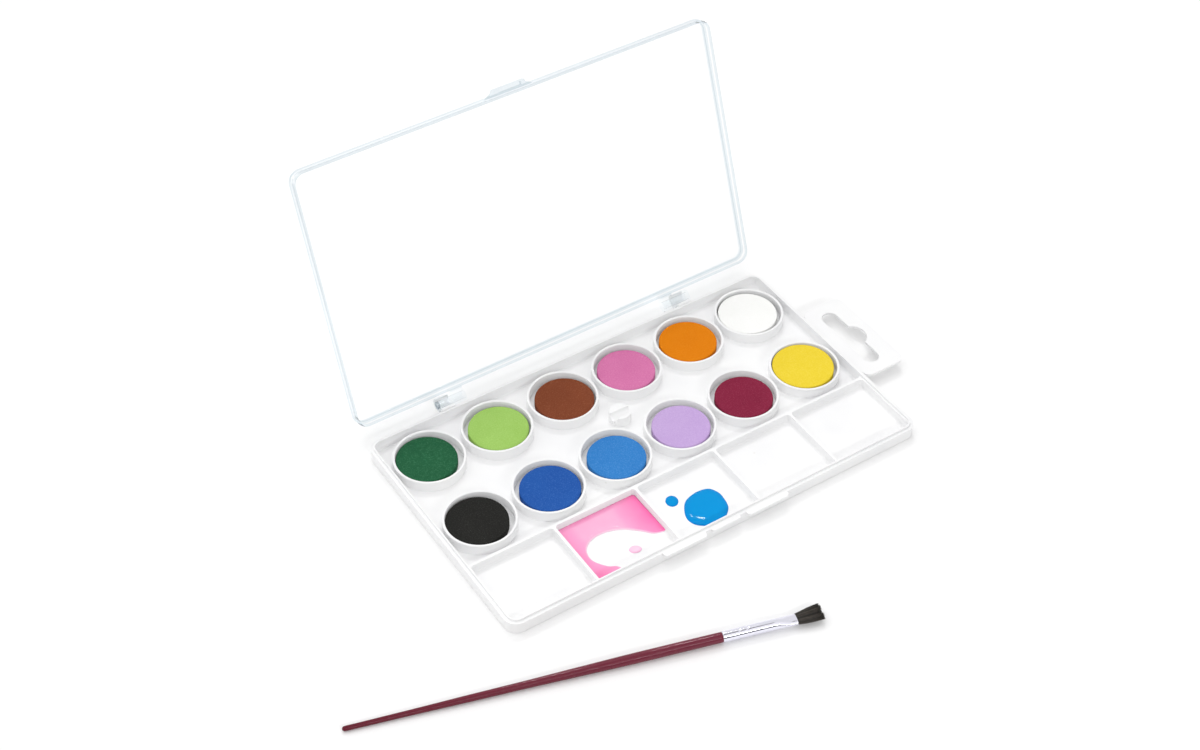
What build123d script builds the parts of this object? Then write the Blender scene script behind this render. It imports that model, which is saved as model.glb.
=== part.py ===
from build123d import *
from math import atan, cos, degrees, pi, radians, sin, sqrt
import os

# Watercolor paint box: a white tray with twelve pans and five mixing wells,
# a clear lid hinged at its back, wet paint in two wells, and its brush in front.
#
# Millimetres. The origin is the centre of the tray's underside, +X points to the
# hanging tab, +Y to the hinge and +Z up. The lid is drawn closed, then turned open.

os.makedirs("parts", exist_ok=True)

# Paint pans
pan_columns = 6
cake_radius = 11.4
cake_edge_radius = 0.5
pan_bore_radius = 12.7
pan_ring_wall = 1.0
pan_ring_height = 4.35
pan_ring_edge_radius = 0.25
column_gap = 1.7
row_gap = 8.7
end_gap = 1.25
back_gap = 2.6

# Tray moulding
wall_thickness = 1.8
floor_thickness = 1.3
ledge_height = 5.04
ridge_thickness = 0.55
ridge_rise = 0.88
ridge_edge_radius = 0.15
tray_corner_radius = 5.0
outer_draft_angle = 1.5
pocket_draft_angle = 2.0
pocket_corner_radius = 1.2
pocket_floor_radius = 0.7

# Mixing wells
well_count = 5
well_depth = 30.2
divider_gap = 3.1
divider_thickness = 1.1
divider_rise = 3.6

# Brush rest, a round boss with a groove, and the small marks on and beside it
rest_radius = 4.25
rest_center_x = -0.75
rest_setback = 0.4
rest_edge_radius = 0.35
rest_groove_clearance = 0.04
rest_groove_offset = 1.1
rest_hole_radius = 0.45
rest_hole_depth = 0.8
rest_hole_height = 1.75
rest_hole_offset = 1.8
gate_mark_radius = 1.2
gate_mark_depth = 0.1
gate_mark_offset = 9.5

# Hanging tab with its round-backed slot
tab_reach = 18.7
tab_width = 42.1
tab_thickness = 1.05
tab_corner_radius = 3.6
tab_center_y = 0.6
slot_length = 32.0
slot_width = 6.7
slot_setback = 5.0
slot_bump_radius = 5.6
slot_bump_rise = 3.5

# Latch lips on the front ledge; they and the lid's fittings sit a little right of centre
fittings_center_x = 0.4
lip_thickness = 1.05
side_lip_length = 18.4
side_lip_start = 8.95
side_lip_reach = 1.95
side_lip_corner_radius = 1.4
middle_lip_length = 12.4
middle_lip_reach = 1.25
middle_lip_corner_radius = 0.9

# Hinge: hollow barrels on the lid turn in open cradles on the tray
hinge_offset = 3.5
hinge_rise = 0.06
barrel_radius = 2.6
barrel_bore_radius = 1.4
barrel_length = 6.6
knuckle_start = 45.7
knuckle_length = 5.2
knuckle_radius = 2.45
arm_rim_gap = 0.3
cradle_clearance = 0.06
cradle_side_gap = 0.3
cradle_length = 5.8
cradle_swing_gap = 0.1
cradle_foot = 1.0
cradle_lip_rise = 0.4

# Lid
lid_inset = 0.2
lid_rest_gap = 0.05
lid_ridge_clearance = 0.1
lid_depth = 4.3
lid_plate_thickness = 1.0
lid_edge_radius = 0.6
lid_inner_edge_radius = 0.4
lid_open_angle = 110.55
thumb_tab_reach = 3.0
thumb_tab_thickness = 1.3
thumb_tab_top_half = 6.9
thumb_tab_shoulder_half = 7.2
thumb_tab_foot_half = 10.6
thumb_tab_shoulder = 2.0
thumb_tab_shoulder_radius = 1.5
thumb_tab_tip_radius = 0.4
hook_half_length = 4.6
hook_drop = 1.6
hook_gap = 0.2

# Wet paint
pool_thickness = 0.75
blob_thickness = 0.9
droplet_thickness = 0.6
paint_edge_radius = 0.35
wall_film_gap = 0.02
pink_droplet_length = 4.6
pink_droplet_width = 3.4
pink_droplet_turn = -20
blue_droplet_length = 4.8
blue_droplet_width = 5.4
blue_droplet_turn = -25

# Brush
handle_length = 132.2
tail_radius = 0.88
ferrule_length = 27.0
ferrule_radius = 1.975
ferrule_wall = 0.2
tenon_length = 12.0
tenon_clearance = 0.02
crimp_radius = 0.45
crimp_depth = 0.12
crimp_places = (6.2, 9.0)
flat_start = 18.5
flat_run = 2.0
mouth_half_width = 2.3
mouth_half_thickness = 1.05
bristle_count = 320
bristle_reach = 10.0
bristle_spread = 1.75
bristle_squeeze = 0.95
bristle_lean = 0.7
bristle_ragged = 0.4
bristle_backing = 2.0
bristle_root_depth = 0.3
bristle_clearance = 0.04
strand_root = 0.3
strand_width = 0.11
strand_thickness = 0.05
brush_yaw = -16.42
brush_tail_left = 67.1
brush_tail_front = 2.8
table_gap = 0.045

# Sizes worked out from the driving ones
pan_ring_radius = pan_bore_radius + pan_ring_wall
column_pitch = 2 * pan_ring_radius + column_gap
inner_length = 2 * end_gap + (pan_columns - 1) * column_pitch + 2 * pan_ring_radius
inner_width = back_gap + 4 * pan_ring_radius + row_gap + divider_gap + well_depth
tray_length = inner_length + 2 * wall_thickness
tray_width = inner_width + 2 * wall_thickness
inner_corner_radius = tray_corner_radius - wall_thickness
back_row_y = inner_width / 2 - back_gap - pan_ring_radius
front_row_y = back_row_y - 2 * pan_ring_radius - row_gap
rest_y = (back_row_y + front_row_y) / 2 - rest_setback
divider_y = front_row_y - pan_ring_radius - divider_gap
divider_height = floor_thickness + divider_rise
pan_ring_top = floor_thickness + pan_ring_height
ridge_height = ledge_height + ridge_rise
well_pitch = inner_length / well_count
well_y = (divider_y - divider_thickness / 2 - inner_width / 2) / 2

hinge_y = tray_width / 2 + hinge_offset
hinge_z = ledge_height + hinge_rise
hinge_axis = Axis((0, hinge_y, hinge_z), (1, 0, 0))
barrel_start = knuckle_start + knuckle_length
cradle_bore_radius = barrel_radius + cradle_clearance
cradle_radius = hinge_offset + lid_inset - cradle_swing_gap
cradle_start = barrel_start + cradle_side_gap

lid_length = tray_length - 2 * lid_inset
lid_width = tray_width - 2 * lid_inset
lid_rim_z = ledge_height + lid_rest_gap
lid_skirt = wall_thickness - lid_inset - ridge_thickness - lid_ridge_clearance
lid_corner_radius = tray_corner_radius - lid_inset

handle_points = [
    (0.25, tail_radius),
    (0.17, 1.04),
    (0.34, 1.27),
    (0.50, 1.44),
    (0.62, 1.67),
    (0.73, 1.87),
    (0.84, 1.9),
]
handle_radius = handle_points[-1][1]
rest_groove_radius = handle_radius + rest_groove_clearance


def save(piece, name):
    """Label a finished piece and write it as the STEP file of that name."""
    piece.label = name
    export_step(piece, f"parts/{name}.step")


def well_center(column):
    """Centre of a mixing well's floor, counted from the left."""
    return ((column - (well_count - 1) / 2) * well_pitch, well_y)


def pan_center(column, row_y):
    """Centre of a pan, counted from the left."""
    return ((column - (pan_columns - 1) / 2) * column_pitch, row_y)


# Tray: outer wall, ledge and ridge, then the pockets
with BuildPart() as tray:
    draft_inset = ledge_height * sin(radians(outer_draft_angle))
    with BuildSketch():
        RectangleRounded(
            tray_length - 2 * draft_inset,
            tray_width - 2 * draft_inset,
            tray_corner_radius - draft_inset,
        )
    extrude(amount=ledge_height, taper=-outer_draft_angle)
    with BuildSketch(Plane.XY.offset(ledge_height)):
        RectangleRounded(
            inner_length + 2 * ridge_thickness,
            inner_width + 2 * ridge_thickness,
            inner_corner_radius + ridge_thickness,
        )
    extrude(amount=ridge_rise)
    fillet(tray.edges().group_by(Axis.Z)[-1], ridge_edge_radius)

    # One opening above the dividers
    with BuildSketch(Plane.XY.offset(divider_height)):
        RectangleRounded(inner_length, inner_width, inner_corner_radius)
    extrude(amount=ridge_height - divider_height, mode=Mode.SUBTRACT)

    # The pan pocket and the wells below it, drafted, with rounded floors
    pocket_inset = divider_rise * sin(radians(pocket_draft_angle))
    pan_pocket_width = inner_width / 2 - divider_y - divider_thickness / 2
    pan_pocket_y = inner_width / 2 - pan_pocket_width / 2
    well_width = inner_width - pan_pocket_width - divider_thickness
    with BuildSketch(Plane.XY.offset(floor_thickness)):
        with Locations((0, pan_pocket_y)):
            RectangleRounded(
                inner_length - 2 * pocket_inset,
                pan_pocket_width - 2 * pocket_inset,
                pocket_corner_radius,
            )
        with Locations(*[well_center(column) for column in range(well_count)]):
            RectangleRounded(
                well_pitch - divider_thickness - 2 * pocket_inset,
                well_width - 2 * pocket_inset,
                pocket_corner_radius,
            )
    extrude(amount=divider_rise, taper=-pocket_draft_angle, mode=Mode.SUBTRACT)
    floor_edges = tray.edges().filter_by_position(Axis.Z, floor_thickness - 0.01, floor_thickness + 0.01)
    fillet(floor_edges, pocket_floor_radius)

    # Boss of the brush rest
    with BuildSketch(Plane.XY.offset(floor_thickness)):
        with Locations((rest_center_x, rest_y)):
            Circle(rest_radius)
    extrude(amount=pan_ring_height)
    fillet(tray.edges().filter_by_position(Axis.Z, pan_ring_top - 0.01, pan_ring_top + 0.01), rest_edge_radius)

    # Pan rings
    pan_places = [pan_center(column, y) for y in (back_row_y, front_row_y) for column in range(pan_columns)]
    with BuildSketch(Plane.XY.offset(floor_thickness)):
        with Locations(*pan_places):
            Circle(pan_ring_radius)
            Circle(pan_bore_radius, mode=Mode.SUBTRACT)
    extrude(amount=pan_ring_height)
    ring_faces = tray.faces().filter_by_position(Axis.Z, pan_ring_top - 0.01, pan_ring_top + 0.01)
    ring_faces = ring_faces.filter_by(lambda face: len(face.inner_wires()) == 1)
    fillet(ring_faces.edges(), pan_ring_edge_radius)

    # Groove of the brush rest along X, and the marks
    with BuildSketch(Plane.YZ.offset(rest_center_x)):
        with Locations((rest_y - rest_groove_offset, pan_ring_top)):
            Circle(rest_groove_radius)
    extrude(amount=rest_radius, both=True, mode=Mode.SUBTRACT)
    with BuildSketch(Plane.YZ.offset(rest_center_x - rest_radius)):
        with Locations((rest_y - rest_hole_offset, floor_thickness + rest_hole_height)):
            Circle(rest_hole_radius)
    extrude(amount=rest_hole_depth, mode=Mode.SUBTRACT)
    with BuildSketch(Plane.XY.offset(floor_thickness)):
        with Locations((rest_center_x, rest_y + gate_mark_offset)):
            Circle(gate_mark_radius)
    extrude(amount=-gate_mark_depth, mode=Mode.SUBTRACT)

    # Hanging tab
    with BuildSketch(Plane.XY.offset(ledge_height - tab_thickness)):
        with Locations((tray_length / 2 + tab_reach / 2, tab_center_y)):
            RectangleRounded(tab_reach, tab_width, tab_corner_radius)
        with Locations((tray_length / 2, tab_center_y)):
            Rectangle(wall_thickness, tab_width - 2 * tab_corner_radius)
        slot_x = tray_length / 2 + slot_setback + slot_width / 2
        with Locations((slot_x, tab_center_y)):
            SlotOverall(slot_length, slot_width, rotation=90, mode=Mode.SUBTRACT)
        with Locations((slot_x + slot_width / 2 + slot_bump_rise - slot_bump_radius, tab_center_y)):
            Circle(slot_bump_radius, mode=Mode.SUBTRACT)
        with Locations((slot_x - slot_width / 2 - slot_setback / 2, tab_center_y)):
            Rectangle(slot_setback, slot_length)
    extrude(amount=tab_thickness)

    # Latch lips
    side_lip_x = side_lip_start + side_lip_length / 2
    with BuildSketch(Plane.XY.offset(ledge_height - lip_thickness)):
        for x, length, reach, corner in (
            (-side_lip_x, side_lip_length, side_lip_reach, side_lip_corner_radius),
            (0, middle_lip_length, middle_lip_reach, middle_lip_corner_radius),
            (side_lip_x, side_lip_length, side_lip_reach, side_lip_corner_radius),
        ):
            depth = reach + wall_thickness / 2 + corner / 2
            with Locations((fittings_center_x + x, -tray_width / 2 - reach + depth / 2)):
                RectangleRounded(length, depth, corner)
    extrude(amount=lip_thickness)

    # Hinge cradles behind the back wall
    for side in (1, -1):
        with BuildSketch(Plane.YZ.offset(fittings_center_x + side * cradle_start)):
            with Locations((hinge_y, hinge_z)):
                Circle(cradle_radius)
            web_length = hinge_offset + wall_thickness / 2
            with Locations((hinge_y - web_length / 2, (cradle_foot + ledge_height) / 2)):
                Rectangle(web_length, ledge_height - cradle_foot)
            with Locations((hinge_y, hinge_z)):
                Circle(cradle_bore_radius, mode=Mode.SUBTRACT)
            with Locations((hinge_y, hinge_z + cradle_lip_rise + cradle_radius / 2)):
                Rectangle(2 * cradle_radius, cradle_radius, mode=Mode.SUBTRACT)
        extrude(amount=side * cradle_length)

save(tray.part, "tray")


# Paint cakes: name, pan column, row, then shares of the cake's radius, of the pan ring's
# height, and of the play between cake and bore for its offset
cakes = [
    ("cake_dark_green", 0, back_row_y, 1.009, 0.678, (-0.65, 0.42)),
    ("cake_light_green", 1, back_row_y, 1.009, 0.701, (0.35, -0.19)),
    ("cake_brown", 2, back_row_y, 1.004, 0.632, (0.42, -0.31)),
    ("cake_pink", 3, back_row_y, 0.991, 0.632, (-0.08, 0.08)),
    ("cake_orange", 4, back_row_y, 0.996, 0.713, (-0.12, 0.12)),
    ("cake_white", 5, back_row_y, 1.026, 0.805, (-0.27, 0.23)),
    ("cake_black", 0, front_row_y, 1.009, 0.713, (-0.62, 0.38)),
    ("cake_blue", 1, front_row_y, 1.000, 0.690, (0.35, -0.23)),
    ("cake_light_blue", 2, front_row_y, 0.974, 0.655, (0.27, -0.19)),
    ("cake_lilac", 3, front_row_y, 0.978, 0.655, (0.23, -0.15)),
    ("cake_maroon", 4, front_row_y, 0.982, 0.632, (0.23, -0.15)),
    ("cake_yellow", 5, front_row_y, 1.048, 0.874, (-0.12, 0.35)),
]

for name, column, row_y, radius_share, height_share, offset_shares in cakes:
    pan_x, pan_y = pan_center(column, row_y)
    offset_x, offset_y = [share * (pan_bore_radius - cake_radius) for share in offset_shares]
    with BuildPart() as cake:
        with BuildSketch(Plane.XY.offset(floor_thickness)):
            with Locations((pan_x + offset_x, pan_y + offset_y)):
                Circle(radius_share * cake_radius)
        extrude(amount=height_share * pan_ring_height)
        fillet(cake.edges().group_by(Axis.Z)[-1], cake_edge_radius)
    save(cake.part, name)


# Wet paint, drawn in shares of its well's half length and half width, so it keeps to the walls
pool_length = well_pitch - divider_thickness - 2 * pocket_inset - 2 * wall_film_gap
pool_width = well_width - 2 * pocket_inset - 2 * wall_film_gap


def in_well(shares):
    """Turn shares of a well's half length and half width into a point of its floor."""
    return (shares[0] * pool_length / 2, shares[1] * pool_width / 2)


# Pink pool: it fills its well up to the walls around a bare island
pool_plane = Plane((*well_center(1), floor_thickness))
island_curve = [
    (2.000, -0.450),
    (0.807, -0.361),
    (0.570, -0.061),
    (0.232, 0.211),
    (-0.131, 0.347),
    (-0.475, 0.313),
    (-0.712, 0.095),
    (-0.754, -0.245),
    (-0.570, -0.586),
    (-0.392, -0.722),
    (-0.178, -2.000),
]
with BuildPart() as well_space:
    with BuildSketch(pool_plane):
        RectangleRounded(pool_length, pool_width, pocket_corner_radius)
    extrude(amount=divider_rise, taper=-pocket_draft_angle)
    fillet(well_space.edges().group_by(Axis.Z)[0], pocket_floor_radius)

with BuildPart() as pink_puddle:
    with BuildSketch(pool_plane):
        with BuildLine():
            shore = Spline(*[in_well(shares) for shares in island_curve])
            Polyline(
                shore @ 1,
                (-pool_length, -pool_width),
                (-pool_length, pool_width),
                (pool_length, pool_width),
                shore @ 0,
            )
        make_face()
    extrude(amount=pool_thickness)
    fillet(pink_puddle.edges().filter_by(GeomType.BSPLINE).group_by(Axis.Z)[-1], paint_edge_radius)
    add(well_space.part, mode=Mode.INTERSECT)
save(pink_puddle.part, "pink_puddle")

# Pink droplet on the island
with BuildPart() as pink_droplet:
    with BuildSketch(pool_plane):
        with Locations(in_well((0.172, -0.497))):
            Ellipse(pink_droplet_length / 2, pink_droplet_width / 2, rotation=pink_droplet_turn)
    extrude(amount=droplet_thickness)
    fillet(pink_droplet.edges().group_by(Axis.Z)[-1], paint_edge_radius)
save(pink_droplet.part, "pink_droplet")

# Blue blob and droplet in the middle well
blob_plane = Plane((*well_center(2), floor_thickness))
blob_outline = [
    (0.356, 0.177),
    (0.505, -0.218),
    (0.439, -0.674),
    (0.024, -0.913),
    (-0.416, -0.722),
    (-0.499, -0.341),
    (-0.279, 0.095),
    (0.059, 0.238),
]
with BuildPart() as blue_puddle:
    with BuildSketch(blob_plane):
        with BuildLine():
            Spline(*[in_well(shares) for shares in blob_outline], periodic=True)
        make_face()
    extrude(amount=blob_thickness)
    fillet(blue_puddle.edges().group_by(Axis.Z)[-1], paint_edge_radius)
save(blue_puddle.part, "blue_puddle")

with BuildPart() as blue_droplet:
    with BuildSketch(blob_plane):
        with Locations(in_well((-0.481, 0.320))):
            Ellipse(blue_droplet_length / 2, blue_droplet_width / 2, rotation=blue_droplet_turn)
    extrude(amount=droplet_thickness)
    fillet(blue_droplet.edges().group_by(Axis.Z)[-1], paint_edge_radius)
save(blue_droplet.part, "blue_droplet")


# Lid, drawn closed: plate and skirt, thumb tab with its hook, knuckles and barrels
with BuildPart() as lid:
    with BuildSketch(Plane.XY.offset(lid_rim_z)):
        RectangleRounded(lid_length, lid_width, lid_corner_radius)
    extrude(amount=lid_depth)
    fillet(lid.edges().group_by(Axis.Z)[-1], lid_edge_radius)
    with BuildSketch(Plane.XY.offset(lid_rim_z)):
        RectangleRounded(lid_length - 2 * lid_skirt, lid_width - 2 * lid_skirt, lid_corner_radius - lid_skirt)
    extrude(amount=lid_depth - lid_plate_thickness, mode=Mode.SUBTRACT)
    ceiling_z = lid_rim_z + lid_depth - lid_plate_thickness
    fillet(
        lid.edges().filter_by_position(Axis.Z, ceiling_z - 0.01, ceiling_z + 0.01),
        lid_inner_edge_radius,
    )

    # Thumb tab, level with the rim
    front_y = -lid_width / 2
    with BuildSketch(Plane((fittings_center_x, front_y, lid_rim_z))) as thumb_tab:
        with BuildLine():
            Polyline(
                (-thumb_tab_foot_half, lid_skirt / 2),
                (-thumb_tab_foot_half, 0),
                (-thumb_tab_shoulder_half, -thumb_tab_shoulder),
                (-thumb_tab_top_half, -thumb_tab_reach),
                (thumb_tab_top_half, -thumb_tab_reach),
                (thumb_tab_shoulder_half, -thumb_tab_shoulder),
                (thumb_tab_foot_half, 0),
                (thumb_tab_foot_half, lid_skirt / 2),
                close=True,
            )
        make_face()
        outline_points = thumb_tab.vertices().sort_by(Axis.Y)
        fillet(outline_points[0:2], thumb_tab_tip_radius)
        fillet(outline_points[2:4], thumb_tab_shoulder_radius)
    extrude(amount=thumb_tab_thickness)

    # Hook that drops in front of the middle latch lip
    hook_back_y = -tray_width / 2 - middle_lip_reach - hook_gap
    hook_thickness = front_y - thumb_tab_reach - hook_back_y
    with BuildSketch(Plane.XY.offset(lid_rim_z - hook_drop)):
        with Locations((fittings_center_x, hook_back_y + hook_thickness / 2)):
            Rectangle(2 * hook_half_length, abs(hook_thickness))
    extrude(amount=hook_drop)

    # Hinge knuckles, their arms and the barrels
    for side in (1, -1):
        knuckle_plane = Plane.YZ.offset(fittings_center_x + side * knuckle_start)
        with BuildSketch(knuckle_plane):
            with Locations((hinge_y, hinge_z)):
                Circle(knuckle_radius)
            arm_bottom = lid_rim_z + arm_rim_gap
            arm_length = hinge_y - lid_width / 2 + lid_skirt / 2
            with Locations((hinge_y - arm_length / 2, (arm_bottom + hinge_z + knuckle_radius) / 2)):
                Rectangle(arm_length, hinge_z + knuckle_radius - arm_bottom)
        extrude(amount=side * knuckle_length)
        with BuildSketch(Plane.YZ.offset(fittings_center_x + side * barrel_start)):
            with Locations((hinge_y, hinge_z)):
                Circle(barrel_radius)
        extrude(amount=side * barrel_length)
        with BuildSketch(knuckle_plane):
            with Locations((hinge_y, hinge_z)):
                Circle(barrel_bore_radius)
        extrude(amount=side * (knuckle_length + barrel_length), mode=Mode.SUBTRACT)

save(lid.part.rotate(hinge_axis, -lid_open_angle), "lid")


# Brush, drawn along +X from its tail, then laid on the table on its tail and its fullest stretch
slopes = [(radius - tail_radius) / (share * handle_length) for share, radius in handle_points[1:]]
tilt_angle = degrees(atan(max(slopes + [(ferrule_radius - tail_radius) / handle_length])))
tail_height = tail_radius + table_gap
tail_point = (-tray_length / 2 - brush_tail_left, -tray_width / 2 - brush_tail_front, tail_height)
brush_place = Location(tail_point, (0, -tilt_angle, brush_yaw))

with BuildPart() as brush_handle:
    with BuildSketch():
        with BuildLine():
            tail_end = (tail_radius, tail_radius)
            RadiusArc((0, 0), tail_end, tail_radius)
            profile = [tail_end]
            profile += [(share * handle_length, radius) for share, radius in handle_points[1:]]
            profile += [(handle_length, handle_radius)]
            Spline(*profile)
            tenon_radius = ferrule_radius - ferrule_wall - tenon_clearance
            Polyline(
                (handle_length, handle_radius),
                (handle_length, tenon_radius),
                (handle_length + tenon_length, tenon_radius),
                (handle_length + tenon_length, 0),
                (0, 0),
            )
        make_face()
    revolve(axis=Axis.X)
save(brush_handle.part.moved(brush_place), "brush_handle")

# Ferrule: a round tube with two crimps, drawn out to a flat mouth
flat_x = handle_length + flat_start
mouth_x = handle_length + ferrule_length
with BuildPart() as brush_ferrule:
    with BuildSketch(Plane.YZ.offset(handle_length)):
        Circle(ferrule_radius)
    extrude(amount=flat_start)
    with BuildSketch(Plane.YZ.offset(flat_x)):
        Circle(ferrule_radius)
    with BuildSketch(Plane.YZ.offset(mouth_x - flat_run)):
        Ellipse(mouth_half_width, mouth_half_thickness)
    loft()
    with BuildSketch(Plane.YZ.offset(mouth_x - flat_run)):
        Ellipse(mouth_half_width, mouth_half_thickness)
    extrude(amount=flat_run)
    bore_radius = ferrule_radius - ferrule_wall
    with BuildSketch(Plane.YZ.offset(handle_length)):
        Circle(bore_radius)
    extrude(amount=flat_start, mode=Mode.SUBTRACT)
    with BuildSketch(Plane.YZ.offset(flat_x)):
        Circle(bore_radius)
    with BuildSketch(Plane.YZ.offset(mouth_x - flat_run)):
        Ellipse(mouth_half_width - ferrule_wall, mouth_half_thickness - ferrule_wall)
    loft(mode=Mode.SUBTRACT)
    with BuildSketch(Plane.YZ.offset(mouth_x - flat_run)):
        Ellipse(mouth_half_width - ferrule_wall, mouth_half_thickness - ferrule_wall)
    extrude(amount=flat_run, mode=Mode.SUBTRACT)
    for place in crimp_places:
        with BuildSketch(Plane.XZ):
            with Locations((handle_length + place, ferrule_radius + crimp_radius - crimp_depth)):
                Circle(crimp_radius)
        revolve(axis=Axis.X, mode=Mode.SUBTRACT)
save(brush_ferrule.part.moved(brush_place), "brush_ferrule")

# Bristles: strands that fan out from a backing slice inside the ferrule's mouth
root_x = mouth_x - bristle_root_depth - strand_root
root_half_width = mouth_half_width - ferrule_wall - bristle_clearance
root_half_thickness = mouth_half_thickness - ferrule_wall - bristle_clearance
golden_angle = pi * (3 - sqrt(5))


def strand(index):
    """One four-sided strand, drawn from inside the backing slice to its tip."""
    radius = sqrt((index + 0.5) / bristle_count)
    root_y = (root_half_width - strand_width) * radius * cos(index * golden_angle)
    root_z = (root_half_thickness - strand_width) * radius * sin(index * golden_angle)
    run = mouth_x + bristle_reach - root_x
    way = Vector(run, root_y * (bristle_spread - 1) + bristle_lean, root_z * (bristle_squeeze - 1))
    reach = run + bristle_ragged * sin(7.3 * index)
    section = Plane((root_x, root_y, root_z), z_dir=(1, 0, 0)) * Rectangle(strand_width, strand_thickness)
    return extrude(section, amount=reach * way.length / run, dir=way)


strands = [strand(index) for index in range(bristle_count)]

with BuildPart() as brush_bristles:
    with BuildSketch(Plane.YZ.offset(root_x + strand_root - bristle_backing)):
        Ellipse(root_half_width, root_half_thickness)
    extrude(amount=bristle_backing)
    add(strands, clean=False)
save(brush_bristles.part.moved(brush_place), "brush_bristles")
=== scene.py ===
"""Watercolor paint box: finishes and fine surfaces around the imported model.

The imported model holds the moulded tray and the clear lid, which keep their
shapes here and get their finishes. The pressed cakes, the wet paint and the
brush are made again as finer surfaces, each in the place of its own node.

Shapes are worked out in millimetres, in the frame of the part: the origin is
the centre of the tray's underside, +X points to the hanging tab, +Y to the
hinge and +Z up. They become metres when they enter a mesh.
"""

from __future__ import annotations

import logging
import math
from dataclasses import dataclass
from enum import Enum
from typing import Any

import bpy
import numpy as np
from mathutils import Matrix, Vector

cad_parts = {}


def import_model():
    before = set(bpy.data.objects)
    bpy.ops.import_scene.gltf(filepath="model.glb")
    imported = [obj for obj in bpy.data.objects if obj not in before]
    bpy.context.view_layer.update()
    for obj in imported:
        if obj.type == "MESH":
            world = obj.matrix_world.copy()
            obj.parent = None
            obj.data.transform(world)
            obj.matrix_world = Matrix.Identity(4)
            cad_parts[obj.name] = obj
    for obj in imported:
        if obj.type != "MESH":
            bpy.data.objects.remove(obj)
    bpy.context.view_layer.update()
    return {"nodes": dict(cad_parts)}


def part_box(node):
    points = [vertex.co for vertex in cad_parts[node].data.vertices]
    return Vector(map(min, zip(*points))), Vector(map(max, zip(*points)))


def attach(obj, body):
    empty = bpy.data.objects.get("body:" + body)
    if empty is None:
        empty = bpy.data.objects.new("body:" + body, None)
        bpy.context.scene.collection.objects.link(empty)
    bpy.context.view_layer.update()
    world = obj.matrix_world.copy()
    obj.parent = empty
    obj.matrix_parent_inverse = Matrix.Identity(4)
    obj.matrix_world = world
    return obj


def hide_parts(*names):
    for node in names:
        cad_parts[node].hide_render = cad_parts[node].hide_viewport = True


MM = 0.001
TURN = 2.0 * math.pi
NOISE_ROUGHNESS = 0.55
NOISE_SPAN = (0.3, 0.7)

Colour = tuple[float, float, float, float]
log = logging.getLogger("paint_box")


class Body(str, Enum):
    """The bodies of the part that new pieces ride on."""

    TRAY = "tray"
    BRUSH = "brush"


class Socket(str, Enum):
    """The kinds of socket that a node group has."""

    COLOUR = "NodeSocketColor"
    NUMBER = "NodeSocketFloat"
    PLACE = "NodeSocketVector"


def grey(level: float) -> Colour:
    """Give a plain grey of a linear level."""
    return (level, level, level, 1.0)


def tone(red: float, green: float, blue: float) -> Colour:
    """Turn a screen colour of 0 to 255 into the linear colour that a shader takes.

    Args:
        red: Red share, 0 to 255.
        green: Green share, 0 to 255.
        blue: Blue share, 0 to 255.

    Returns:
        The linear colour, with a full alpha.
    """
    screen = np.array([red, green, blue]) / 255.0
    linear = np.where(screen <= 0.04045, screen / 12.92, ((screen + 0.055) / 1.055) ** 2.4)
    return (*(float(share) for share in linear), 1.0)


@dataclass(frozen=True)
class Ripple:
    """A seeded sum of plane waves: an even, endless unevenness, the same on every run.

    The value at (x, y) is the mean of sin(2 pi d / pitch + phase), where d is the
    distance along each wave's own heading, brought to about -1 to 1 by the root of
    the number of waves and the level.
    """

    seed: int
    wavelength: float
    waves: int = 9
    pitches: tuple[float, float] = (0.55, 1.7)
    level: float = 0.7

    def at(self, x: np.ndarray, y: np.ndarray) -> np.ndarray:
        """Give the height of the ripple at each point.

        Args:
            x: First coordinates, in mm.
            y: Second coordinates, in mm.

        Returns:
            Heights of about -1 to 1, in the shape of x.
        """
        random = np.random.default_rng(self.seed)
        heading = random.uniform(0.0, TURN, self.waves)
        phase = random.uniform(0.0, TURN, self.waves)
        pitch = self.wavelength * random.uniform(*self.pitches, self.waves)
        along = x[..., None] * np.cos(heading) + y[..., None] * np.sin(heading)
        mean = np.sin(TURN * along / pitch + phase).mean(axis=-1)
        return mean * math.sqrt(self.waves) * self.level


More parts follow.
